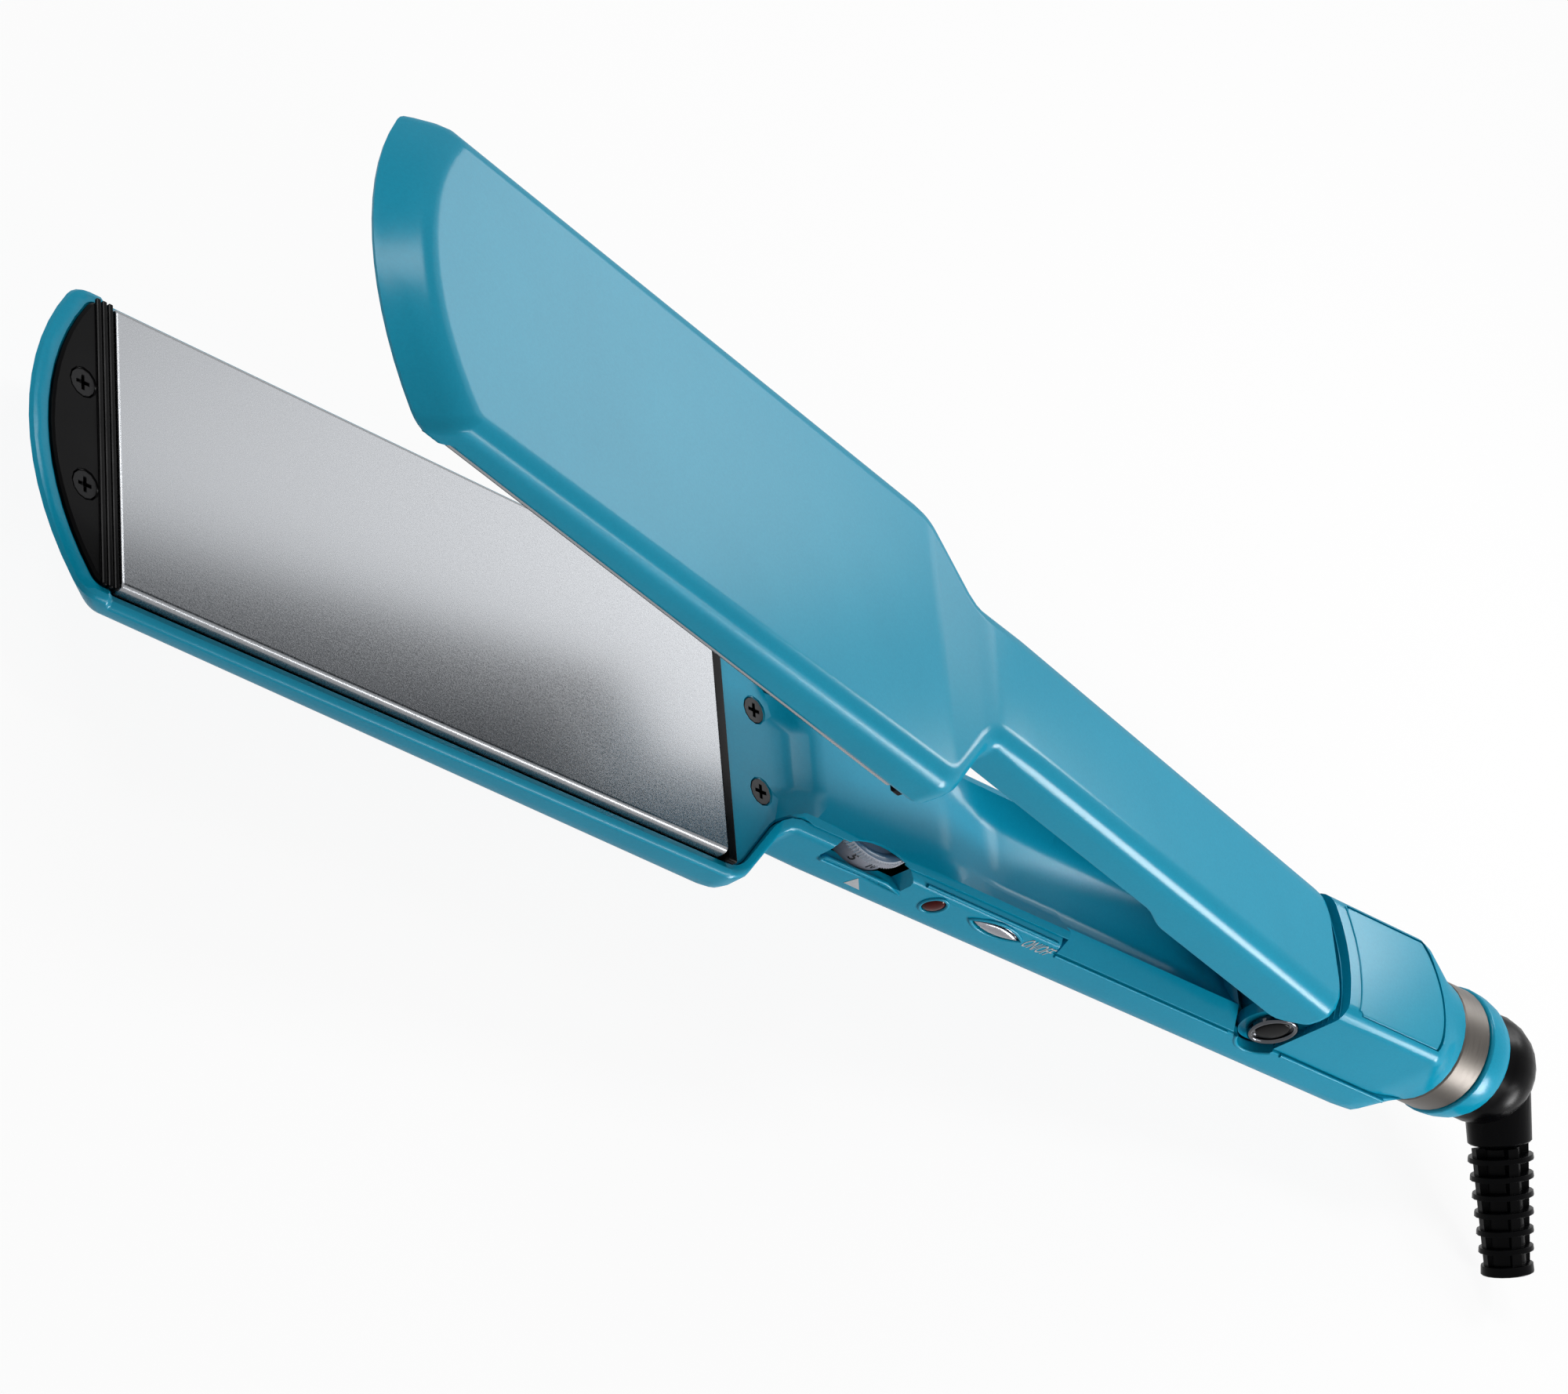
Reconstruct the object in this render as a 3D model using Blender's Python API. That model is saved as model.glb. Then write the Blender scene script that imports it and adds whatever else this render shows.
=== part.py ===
"""Hair straightener with a sprung hinge, a swivelling cord elbow and smooth plates.

The iron lies along X: the tip points to -X, the cord end to +X, the controls
face -Y and +Z is up.  The origin is on the flat underside, straight below the
hinge.  Lengths below are in millimetres, measured from the hinge axis, which
is also the height of the plane where the two closed plates would meet.  The
upper arm is modelled closed and turned open about the hinge by its parent.
"""

import math

import bmesh
import bpy
from mathutils import Matrix, Vector

MM = 0.001

# --- driving dimensions ---------------------------------------------------
CLEARANCE = 0.3            # between neighbouring pieces
OPEN_ANGLE = 12.2          # degrees, the arm resting against its open stop

PLATE_LENGTH = 130.0
PLATE_WIDTH = 49.0
PLATE_THICKNESS = 2.6
PLATE_EDGE_RADIUS = 1.0
PLATE_REAR_X = -144.5      # the plates grow forward from here
PLATE_FRONT_X = PLATE_REAR_X - PLATE_LENGTH
PLATE_GAP = 0.3            # between the closed plates
PLATE_MARGIN = 2.4         # from a plate's long edge to the shell's side

UPPER_NOSE_LEAD = 0.9      # how much further the upper nose reaches
TIP_ARC_RADIUS = 43.0
TIP_CORNER_RADIUS = 5.0
TIP_STRAIGHT = 3.85        # of the side between the nose's corner and the plate
NOSE_SLOPE = 1.22          # how far the nose face leans back per mm of depth
NOSE_FACE = 5.3            # height of the leaning face
NOSE_ROUND = 2.7           # extra rounding where it meets the back
BODY_HALF_WIDTH = PLATE_WIDTH / 2 + PLATE_MARGIN
BODY_DEPTH_FRONT = 7.9     # plate plane to back, at the front of the plate
BODY_DEPTH_REAR = 10.8     # and at its rear
BACK_CORNER_RADIUS = 4.4
SHOULDER_RADIUS = 9.0
FLANK_ANGLE = 50.0
FLANK_X = -134.2           # where the flank is FLANK_HALF_WIDTH from the axis
FLANK_HALF_WIDTH = 21.9
NECK_FILLET_RADIUS = 5.0
HANDLE_HALF_WIDTH = 13.4
HANDLE_DEPTH = 13.6
WALL = 2.0

NOSE_RIM_DEPTH = 1.5       # rim crest, measured away from the plate plane
SIDE_RIM_DEPTH = 2.5       # rim beside the plate
RIM_STEP_LENGTH = 1.6      # of the slope between them
SEAM_DEPTH = 0.9           # seam beside the control deck
LOW_SEAM_DEPTH = 4.0       # seam beside the hinge and hub
CONTROL_REAR_X = -57.0     # where the high side wall ends
STEP_LENGTH = 0.4          # of the steep face there
DECK_RIM_ROUND = 1.4       # extra rounding of the rim beside the deck
UPPER_RIM_FRONT = 4.8      # upper handle rim at the neck
UPPER_RIM_REAR = 3.1       # behind the control deck's step
UPPER_RIM_END = 7.7        # and over the hinge
UPPER_STEP_FRONT_X = -60.0
UPPER_STEP_REAR_X = -51.0
UPPER_RISE_FRONT_X = -8.0
UPPER_RISE_REAR_X = 4.0
UPPER_END_X = 2.0
UPPER_END_CORNER = 3.0

COVER_THICKNESS = 1.5
UPPER_COVER_FRONT = 5.4    # depth of the upper inner cover at the neck
UPPER_COVER_REAR = 8.5     # and above the hinge
PAD_DEPTH = 3.0            # screw pad behind the plate
PAD_REAR_X = -128.6
DECK_FRONT_X = -119.0
DECK_HEIGHT = 0.6          # control deck above the plate plane
RAIL_HEIGHT = 0.3
TROUGH_DEPTH = 3.4
TROUGH_FRONT_X = -92.0
TROUGH_FULL_X = -70.0
DECK_REAR_X = -7.2
LIP_INSET = 1.5            # of the cover's lip from the handle's side
LOW_LIP_INSET = 0.25
SCOOP_LENGTH = 18.0        # of the finger scoop over the dial
SCOOP_DEPTH = 2.4
SCOOP_INSET = 0.7          # of the scoop's ends from the handle's side

END_RIDGE = 2.5            # black ridge behind the plate
END_RIDGE_DEPTH = 0.75
END_RIDGE_OVERHANG = 0.8   # over the shell's rim, past the plate's edge
CARRIER_INSET = 1.0        # of the carrier's side from the plate's edge
CARRIER_DEPTH = 2.4
POCKET_DEPTH = 1.9
CAP_THICKNESS = 2.3
CAP_DEPTH = 0.9
CAP_RIDGE_RISE = 0.45
CAP_RIDGES = 3
CAP_RIDGE_PITCH = 1.2
CAP_RIDGE_INSET = 1.9      # of their ends from the shell's side

SCREW_HEAD_RADIUS = 2.35
SCREW_SHANK_RADIUS = 1.2
SCREW_LENGTH = 4.2
SCREW_SLOT_WIDTH = 0.6
SCREW_SLOT_DEPTH = 0.8
TIP_SCREW_LEAD = 6.3       # ahead of the plate's front edge
TIP_SCREW_Y = 8.9
COVER_SCREW_SETBACK = 12.6  # behind the plate's rear edge
COVER_SCREW_Y = 7.7
BOSS_RADIUS = 2.6

HEATER_LENGTH = 104.0
HEATER_WIDTH = 14.0
HEATER_THICKNESS = 1.0
CLIP_THICKNESS = 0.3
FUSE_RADIUS = 0.7
FUSE_LENGTH = 11.0
FUSE_Y = 14.0

PIN_RADIUS = 2.0
KNUCKLE_RADIUS = 5.0
KNUCKLE_HALF_WIDTH = 8.7
KNUCKLE_END_Y = 1.0        # the spring fills the rest of the gap
CHEEK_RADIUS = 6.2
CHEEK_HALF_WIDTH = 11.1
HINGE_CAP_RADIUS = 4.7
HINGE_CAP_THICKNESS = 1.3
HINGE_RECESS_RADIUS = 6.6
SPRING_WIRE = 0.9
SPRING_RADIUS = 3.4
SPRING_TURNS = 3.5
SPRING_PITCH = 1.6
SPRING_LEG = 10.0

HUB_HALF_WIDTH = 12.9
HUB_TOP = 13.2
HUB_CORNER_RADIUS = 3.0
HUB_TAPER_X = 33.0
HUB_END_X = 44.2
HUB_FRONT_X = 8.0
HUB_FRONT_ARC = 28.0
PANEL_FRONT_X = 11.4
PANEL_REAR_X = 36.9
PANEL_REAR_ARC = 17.5
PANEL_HALF_WIDTH = 11.0
PANEL_THICKNESS = 1.0
PANEL_DROP = 0.3
RING_RADIUS = 12.0
RING_WIDTH = 7.6
CORD_AXIS_Z = 0.45
COLLAR_LENGTH = 7.4
COLLAR_MOUTH_RADIUS = 10.9
COLLAR_CROWN = 0.4
SPIGOT_RADIUS = 7.3
FLANGE_RADIUS = 9.0
FLANGE_WIDTH = 2.0

ELBOW_X = 64.9
ELBOW_RADIUS = 10.7
ELBOW_THROAT_RADIUS = 9.7
STEM_RADIUS = 4.4
STEM_FRONT_X = 28.5
STEM_BORE = 2.2
GROOVE_DEPTH = 0.7
RETAINER_RADIUS = 6.6
RETAINER_THICKNESS = 0.9
CONTACT_RADIUS = 5.4
CONTACT_WIDTH = 1.6
CONTACT_PITCH = 2.4
SWIVEL_ANGLE = 25.0        # degrees that the elbow hangs below level at rest
BOOT_ROOT_X = 70.2
BOOT_LEAN = 25.3           # degrees that the boot leans away from the tip
ELBOW_NECK_ROOT = 6.5
ELBOW_NECK_RADIUS = 6.15
ELBOW_NECK_LENGTH = 12.9
CORD_BORE = 2.6
BOOT_RIBS = 7
BOOT_FIRST_SLOT = 1.9
BOOT_PITCH = 3.49
BOOT_RIB_WIDTH = 1.4
BOOT_END_WIDTH = 2.1
BOOT_RIB_FRONT = 6.3
BOOT_RIB_REAR = 5.1
BOOT_CORE_RADIUS = 3.7
BOOT_SLEEVE_END = 0.6      # from the elbow's neck to the boot's first slot
BOOT_BARS = 4
BOOT_BAR_WIDTH = 2.0
BOOT_BAR_SETBACK = 0.75
BOOT_BAR_TURN = 25.0

DIAL_X = -106.4
DIAL_Y = -1.4
DIAL_RADIUS = 12.0
DIAL_TOP = -0.55
DIAL_KNURL = 1.6
DIAL_DRUM_HEIGHT = 3.3
DIAL_DRUM_STEP = 1.1
DIAL_BOSS_RADIUS = 2.4
DIAL_BOSS_LENGTH = 2.0
DIAL_RIBS = 60
DIAL_WINDOW_FRONT_X = -116.0
DIAL_WINDOW_REAR_X = -95.6
DIAL_WINDOW_DEPTH = 5.15   # of its sill below the plate plane
DIAL_WINDOW_SLOPE = 0.95   # how fast its ends close in through the wall
LED_X = -87.2
LED_DEPTH = 5.0
LED_RADIUS = 2.15
BUTTON_X = -71.8
BUTTON_DEPTH = 4.3
BUTTON_LENGTH = 12.2
BUTTON_HEIGHT = 2.9
BUTTON_TRAVEL = 1.2
BUTTON_FLANGE = 0.8
BUTTON_FLANGE_RIM = 0.9
BUTTON_STEM = 1.6
BUTTON_STEM_DEPTH = 6.2
SWITCH_SIZE = 6.4
BOARD_FRONT_X = -121.0
BOARD_REAR_X = -62.0
BOARD_WIDTH = 17.0
BOARD_THICKNESS = 1.6
POT_SIZE = 9.5
LEAD_RADIUS = 1.0
LEAD_Y = 5.0

SMOOTH_ANGLE = math.radians(35)

TEAL = (0.03, 0.30, 0.42)
COLOURS = {
    "teal_plastic": (TEAL, 0.25, 0.3),
    "titanium_plate": ((0.50, 0.52, 0.55), 0.35, 0.9),
    "black_plastic": ((0.01, 0.01, 0.012), 0.35, 0.0),
    "black_rubber": ((0.02, 0.02, 0.022), 0.55, 0.0),
    "dark_steel": ((0.06, 0.06, 0.065), 0.4, 0.9),
    "black_chrome": ((0.08, 0.08, 0.09), 0.1, 1.0),
    "nickel": ((0.33, 0.31, 0.30), 0.3, 1.0),
    "spring_steel": ((0.45, 0.45, 0.46), 0.3, 1.0),
    "ceramic": ((0.75, 0.73, 0.68), 0.7, 0.0),
    "circuit_board": ((0.02, 0.20, 0.08), 0.5, 0.0),
    "dial_grey": ((0.32, 0.34, 0.38), 0.45, 0.1),
    "led_red": ((0.16, 0.005, 0.002), 0.15, 0.0),
    "silver_button": ((0.45, 0.45, 0.50), 0.3, 0.8),
    "lead_sleeve": ((0.70, 0.68, 0.60), 0.6, 0.0),
}


# --- small helpers -----------------------------------------------------------
def smoothstep(low, high, x):
    """Return 0 below low, 1 above high and an eased value between."""
    t = min(1.0, max(0.0, (x - low) / (high - low)))
    return t * t * (3.0 - 2.0 * t)


def blend(a, b, t):
    """Return the value a fraction t of the way from a to b."""
    return a + (b - a) * t


def material(slot):
    """Return the Principled material of a slot, made once."""
    found = bpy.data.materials.get(slot)
    if found:
        return found
    colour, roughness, metallic = COLOURS[slot]
    made = bpy.data.materials.new(slot)
    made.use_nodes = True
    surface = made.node_tree.nodes["Principled BSDF"]
    surface.inputs["Base Color"].default_value = (*colour, 1.0)
    surface.inputs["Roughness"].default_value = roughness
    surface.inputs["Metallic"].default_value = metallic
    return made


def make_object(name, bm, slot, parent, origin=(0, 0, 0)):
    """Turn a bmesh in millimetres into an object whose origin is at a point."""
    bmesh.ops.recalc_face_normals(bm, faces=bm.faces)
    bmesh.ops.translate(bm, verts=bm.verts, vec=-Vector(origin))
    bmesh.ops.scale(bm, verts=bm.verts, vec=(MM, MM, MM))
    mesh = bpy.data.meshes.new(name)
    bm.to_mesh(mesh)
    bm.free()
    mesh.shade_smooth()
    mesh.set_sharp_from_angle(angle=SMOOTH_ANGLE)
    mesh.materials.append(material(slot))
    made = bpy.data.objects.new(name, mesh)
    bpy.context.collection.objects.link(made)
    made.parent = parent
    made.location = Vector(origin) * MM
    return made


def add_boolean(target, tool, operation):
    """Apply a tool object to a target with an exact Boolean modifier."""
    tool.hide_render = True
    tool.display_type = "WIRE"
    modifier = target.modifiers.new(tool.name, "BOOLEAN")
    modifier.operation = operation
    modifier.object = tool
    modifier.solver = "EXACT"


def cut(target, *tools):
    """Subtract tool objects from a target."""
    for tool in tools:
        add_boolean(target, tool, "DIFFERENCE")


def fuse(target, *tools):
    """Add tool objects to a target."""
    for tool in tools:
        add_boolean(target, tool, "UNION")


# --- bmesh builders, all in millimetres ------------------------------------
def box_mesh(x0, x1, y0, y1, z0, z1, bevel=0.0):
    """Return a box, with its edges bevelled by one flat facet."""
    bm = bmesh.new()
    bmesh.ops.create_cube(bm, size=1.0)
    bmesh.ops.scale(bm, verts=bm.verts, vec=(x1 - x0, y1 - y0, z1 - z0))
    centre = ((x0 + x1) / 2, (y0 + y1) / 2, (z0 + z1) / 2)
    bmesh.ops.translate(bm, verts=bm.verts, vec=centre)
    if bevel:
        bmesh.ops.bevel(bm, geom=bm.edges, offset=bevel, segments=1, affect="EDGES")
    return bm


def prism_mesh(outline, low, high, axis="Z"):
    """Extrude a closed outline along an axis.

    The outline's two coordinates are X and Y for Z, X and Z for Y, and Y and Z
    for X.
    """
    place = {
        "Z": lambda a, b, h: (a, b, h),
        "Y": lambda a, b, h: (a, h, b),
        "X": lambda a, b, h: (h, a, b),
    }[axis]
    bm = bmesh.new()
    bottom = [bm.verts.new(place(a, b, low)) for a, b in outline]
    top = [bm.verts.new(place(a, b, high)) for a, b in outline]
    count = len(outline)
    bm.faces.new(bottom)
    bm.faces.new(top)
    for i in range(count):
        j = (i + 1) % count
        bm.faces.new((bottom[i], bottom[j], top[j], top[i]))
    return bm


def turned_mesh(profile, centre, axis, sides=24):
    """Turn a profile of (distance along axis, radius) about an axis.

    A radius of 0 at an end closes that end at a point.  A profile whose first
    and last points are the same is a ring with a bore.
    """
    axis = Vector(axis).normalized()
    turn = Vector((0, 0, 1)).rotation_difference(axis).to_matrix()
    ring_shaped = profile[0] == profile[-1]
    points = profile[:-1] if ring_shaped else profile
    bm = bmesh.new()
    rings = []
    for along, radius in points:
        if radius == 0:
            rings.append([bm.verts.new(Vector(centre) + turn @ Vector((0, 0, along)))])
            continue
        ring = []
        for k in range(sides):
            angle = math.tau * k / sides
            spoke = Vector((radius * math.cos(angle), radius * math.sin(angle), along))
            ring.append(bm.verts.new(Vector(centre) + turn @ spoke))
        rings.append(ring)
    pairs = list(zip(rings, rings[1:]))
    if ring_shaped:
        pairs.append((rings[-1], rings[0]))
    for first, second in pairs:
        for k in range(sides):
            n = (k + 1) % sides
            a, b = first[k % len(first)], first[n % len(first)]
            c, d = second[n % len(second)], second[k % len(second)]
            bm.faces.new(list(dict.fromkeys((a, b, c, d))))
    if not ring_shaped:
        for ring in (rings[0], rings[-1]):
            if len(ring) > 1:
                bm.faces.new(ring)
    return bm


def tube_profile(x0, x1, outer, inner):
    """Return the turned profile of a plain tube."""
    return [(x0, inner), (x0, outer), (x1, outer), (x1, inner), (x0, inner)]


def layered_mesh(layers):
    """Skin plan loops that are mirrored about y = 0.

    Each layer is a list of (x, y, z) from the front centre round the +Y side to
    the rear centre.  The first and last layers are closed by strips that span
    from side to side, so a floor follows its own slope.
    """
    bm = bmesh.new()
    sides = []
    for layer in layers:
        right = [bm.verts.new(point) for point in layer]
        left = [right[0]]
        left += [bm.verts.new((x, -y, z)) for x, y, z in layer[1:-1]]
        left.append(right[-1])
        sides.append((right, left))
    for (right_a, left_a), (right_b, left_b) in zip(sides, sides[1:]):
        for chain_a, chain_b in ((right_a, right_b), (left_a, left_b)):
            for i in range(len(chain_a) - 1):
                bm.faces.new((chain_a[i], chain_a[i + 1], chain_b[i + 1], chain_b[i]))
    for right, left in (sides[0], sides[-1]):
        square_front = right[0].co.x == right[1].co.x
        square_rear = right[-1].co.x == right[-2].co.x
        first = 1 if square_front else 0
        last = len(right) - (2 if square_rear else 1)
        for i in range(first, last):
            corners = [right[i], right[i + 1], left[i + 1], left[i]]
            if square_front and i == first:
                corners.append(right[0])
            if square_rear and i == last - 1:
                corners.insert(2, right[-1])
            bm.faces.new(list(dict.fromkeys(corners)))
    return bm


def arc_points(centre, radius, start, end, count):
    """Return count + 1 points on an arc, with angles in degrees."""
    points = []
    for k in range(count + 1):
        angle = math.radians(blend(start, end, k / count))
        points.append((centre[0] + radius * math.cos(angle),
                       centre[1] + radius * math.sin(angle)))
    return points


def lens_outline(length, height, count=6):
    """Return a pointed lens made of two arcs, centred on the origin."""
    half, rise = length / 2, height / 2
    radius = (half * half + rise * rise) / (2 * rise)
    span = math.degrees(math.asin(half / radius))
    upper = arc_points((0, rise - radius), radius, 90 + span, 90 - span, count)
    lower = arc_points((0, radius - rise), radius, -90 + span, -90 - span, count)
    return upper[:-1] + lower[:-1]


# --- the plan shape that both arms share ---------------------------------------
# "Depth" is a distance away from the plate plane: down on the lower arm, up on
# the closed upper arm.  A side is -1 for the lower arm and +1 for the upper.
LOWER, UPPER = -1, 1
COVER_FRONT_X = PLATE_REAR_X + 2 * CLEARANCE + END_RIDGE
FLANK = math.radians(FLANK_ANGLE)
SKIN = WALL + CLEARANCE        # from an outside face to what fits inside it
TIP_REACH = TIP_ARC_RADIUS - math.sqrt((TIP_ARC_RADIUS - TIP_CORNER_RADIUS) ** 2
                                       - (BODY_HALF_WIDTH - TIP_CORNER_RADIUS) ** 2)
TIP_X = PLATE_FRONT_X - TIP_STRAIGHT - TIP_REACH     # foremost point of the lower nose


def nose_outline(side, front_inset, side_inset):
    """Return the nose from its centre to the start of the straight side."""
    centre_x = TIP_X + TIP_ARC_RADIUS - (UPPER_NOSE_LEAD if side == UPPER else 0.0)
    radius = TIP_ARC_RADIUS - front_inset
    half = BODY_HALF_WIDTH - side_inset
    corner = max(TIP_CORNER_RADIUS - side_inset, 1.2)
    reach = radius - corner
    centre = (centre_x - math.sqrt(reach ** 2 - (half - corner) ** 2), half - corner)
    meet = math.degrees(math.atan2(centre[1], centre_x - centre[0]))
    front = arc_points((centre_x, 0), radius, 180, 180 - meet, 7)
    return front[:-1] + arc_points(centre, corner, 180 - meet, 90, 4)


def shoulder_stations():
    """Return (x, y, normal x, normal y) from the side down to the handle."""
    slope = math.tan(FLANK)
    corner_x = FLANK_X - (BODY_HALF_WIDTH - FLANK_HALF_WIDTH) / slope
    tangent = SHOULDER_RADIUS * math.tan(FLANK / 2)
    centre = (corner_x - tangent, BODY_HALF_WIDTH - SHOULDER_RADIUS)
    stations = []
    for k in range(6):
        angle = math.radians(90) - FLANK * k / 5
        nx, ny = math.cos(angle), math.sin(angle)
        stations.append((centre[0] + SHOULDER_RADIUS * nx,
                         centre[1] + SHOULDER_RADIUS * ny, nx, ny))
    neck_x = FLANK_X + (FLANK_HALF_WIDTH - HANDLE_HALF_WIDTH) / slope
    tangent = NECK_FILLET_RADIUS * math.tan(FLANK / 2)
    centre = (neck_x + tangent, HANDLE_HALF_WIDTH + NECK_FILLET_RADIUS)
    for k in range(4):
        angle = math.radians(90) - FLANK * (1 - k / 3)
        nx, ny = math.cos(angle), math.sin(angle)
        stations.append((centre[0] - NECK_FILLET_RADIUS * nx,
                         centre[1] - NECK_FILLET_RADIUS * ny, nx, ny))
    return stations


SHOULDER = shoulder_stations()
NECK_X = SHOULDER[-1][0]


def body_depth(x):
    """Return how far the back lies from the plate plane at a station."""
    slope = (BODY_DEPTH_REAR - BODY_DEPTH_FRONT) / PLATE_LENGTH
    along = BODY_DEPTH_FRONT + slope * (min(x, PLATE_REAR_X) - PLATE_FRONT_X)
    return blend(along, HANDLE_DEPTH, smoothstep(PLATE_REAR_X + 2.0, NECK_X + 5.0, x))


def handle_share(x):
    """Return 0 over the plate and 1 in the handle, eased along the shoulder."""
    return smoothstep(PLATE_REAR_X, NECK_X, x)


def rear_share(x):
    """Return how far the hub's end has rounded off towards the ring."""
    return smoothstep(HUB_TAPER_X, HUB_END_X, x)


def ring_chord(depth):
    """Return the half width of the trim ring's circle at a lower depth."""
    rise = -depth - CORD_AXIS_Z
    return math.sqrt(max(RING_RADIUS ** 2 - rise ** 2, 9.0))


def lower_depth(x):
    """Return the lower shell's depth, which rises at the hub's end."""
    return blend(body_depth(x), RING_RADIUS - CORD_AXIS_Z, rear_share(x) ** 4)


def plate_rim(x):
    """Return the depth of either shell's rim from the nose to the neck."""
    step = smoothstep(PLATE_FRONT_X - RIM_STEP_LENGTH, PLATE_FRONT_X, x)
    return blend(NOSE_RIM_DEPTH, SIDE_RIM_DEPTH, step)


def beside_deck(x):
    """Return True where the lower shell's wall is high, beside the deck."""
    return x < CONTROL_REAR_X - STEP_LENGTH / 2


def lower_rim(x):
    """Return the depth of the lower shell's rim."""
    if not beside_deck(x):
        return LOW_SEAM_DEPTH
    return blend(plate_rim(x), SEAM_DEPTH, smoothstep(NECK_X - 8.0, NECK_X, x))


def upper_rim(x):
    """Return the depth of the upper shell's rim in the closed pose."""
    neck = blend(plate_rim(x), UPPER_RIM_FRONT, smoothstep(COVER_FRONT_X, PAD_REAR_X, x))
    low = blend(neck, UPPER_RIM_REAR, smoothstep(UPPER_STEP_FRONT_X, UPPER_STEP_REAR_X, x))
    return blend(low, UPPER_RIM_END, smoothstep(UPPER_RISE_FRONT_X, UPPER_RISE_REAR_X, x))


def between(start, end, *shares):
    """Return the stations at given shares of the way between two others."""
    return [blend(start, end, share) for share in shares]


def lower_rear(inset, depth, wall):
    """Return a lower loop's points behind the neck, closed at the hub's end."""
    stations = between(NECK_X, CONTROL_REAR_X, 0.16, 0.46)
    stations += [CONTROL_REAR_X - STEP_LENGTH, CONTROL_REAR_X]
    stations += between(CONTROL_REAR_X, HUB_TAPER_X, 0.36, 0.74)
    stations += [HUB_TAPER_X, *between(HUB_TAPER_X, HUB_END_X, 0.36, 0.67)]
    end = HUB_END_X - wall
    points = []
    for x in stations + [end]:
        share = rear_share(x) ** 3
        half = blend(HANDLE_HALF_WIDTH - inset, ring_chord(depth(x)) - wall, share)
        points.append((x, half))
    return points + [(end, 0.0)]


def upper_rear(inset, depth, wall):
    """Return an upper loop's points behind the neck, closed over the hinge."""
    half = HANDLE_HALF_WIDTH - inset
    end = UPPER_END_X - wall - 0.2 * max(0.0, inset - LOW_LIP_INSET) * (wall == 0)
    corner = max(UPPER_END_CORNER - wall, 1.0)
    stations = between(NECK_X, UPPER_STEP_FRONT_X, 0.17, 0.48, 1.0)
    stations += between(UPPER_STEP_FRONT_X, UPPER_STEP_REAR_X, 0.25, 0.5, 0.75, 1.0)
    stations += between(UPPER_STEP_REAR_X, UPPER_RISE_FRONT_X, 0.5, 1.0)
    stations += between(UPPER_RISE_FRONT_X, end - corner, 0.25, 0.5, 0.75)
    points = [(x, half) for x in stations]
    points += arc_points((end - corner, half - corner), corner, 90, 0, 4)
    return points + [(end, 0.0)]


def arm_loop(side, insets, depth, rear, wall=0.0):
    """Return one plan loop of an arm at its insets from the outline.

    The insets are those of the nose, the plate section and the handle.
    """
    front_inset, plate_inset, handle_inset = insets
    points = nose_outline(side, front_inset, plate_inset)
    for x in between(PLATE_FRONT_X - RIM_STEP_LENGTH, PLATE_FRONT_X, 0.0, 0.35, 0.65, 1.0):
        points.append((max(x, points[-1][0] + 0.2), BODY_HALF_WIDTH - plate_inset))
    for x, y, nx, ny in SHOULDER:
        inset = blend(plate_inset, handle_inset, handle_share(x))
        points.append((x - inset * nx, y - inset * ny))
    points += rear(handle_inset, depth, wall)
    return [(x, y, side * depth(x)) for x, y in points]


def make_shell(name, side, parent, back, rim, rear):
    """Model an arm's outer shell as a tray, from its back round to its floor."""
    def above_back(rise):
        return lambda x: back(x) - rise

    def below_rim(plate_drop, handle_drop, rounding=0.0):
        def depth(x):
            rounded = rounding if side == LOWER and beside_deck(x) else 0.0
            drop = handle_drop + rounded * DECK_RIM_ROUND
            return rim(x) + blend(plate_drop, drop, handle_share(x))
        return depth

    loops = []
    for k in range(5):
        angle = math.radians(90 * k / 4)
        rise = BACK_CORNER_RADIUS * (1 - math.cos(angle))
        inset = BACK_CORNER_RADIUS * (1 - math.sin(angle))
        nose = NOSE_SLOPE * (NOSE_FACE - rise) + NOSE_ROUND * max(0.0, 1 - rise / 1.2) ** 2
        loops.append(arm_loop(side, (nose, inset, inset), above_back(rise), rear))
    loops.append(arm_loop(side, (0.1, 0.0, 0.0), below_rim(1.0, 0.6, 1.0), rear))
    loops.append(arm_loop(side, (0.5, 0.4, 0.2), below_rim(0.4, 0.2, 0.7), rear))
    loops.append(arm_loop(side, (1.5, 1.2, 0.7), below_rim(0.0, 0.0, 0.43), rear))
    loops.append(arm_loop(side, (3.0, 2.1, WALL), below_rim(0.1, 0.0), rear, WALL))
    floor_insets = (7.8, SKIN, SKIN)
    loops.append(arm_loop(side, floor_insets, above_back(WALL), rear, WALL + CLEARANCE))
    return make_object(name, layered_mesh(loops), "teal_plastic", parent)


def screw_places():
    """Return (name, x, y, head depth, clamped thickness) of an arm's screws."""
    places = []
    for hand, sign in (("left", -1), ("right", 1)):
        places.append((f"tip_screw_{hand}", PLATE_FRONT_X - TIP_SCREW_LEAD, sign * TIP_SCREW_Y,
                       CAP_DEPTH, CAP_THICKNESS))
        places.append((f"cover_screw_{hand}", PLATE_REAR_X + COVER_SCREW_SETBACK,
                       sign * COVER_SCREW_Y, PAD_DEPTH, COVER_THICKNESS))
    return places


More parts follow.
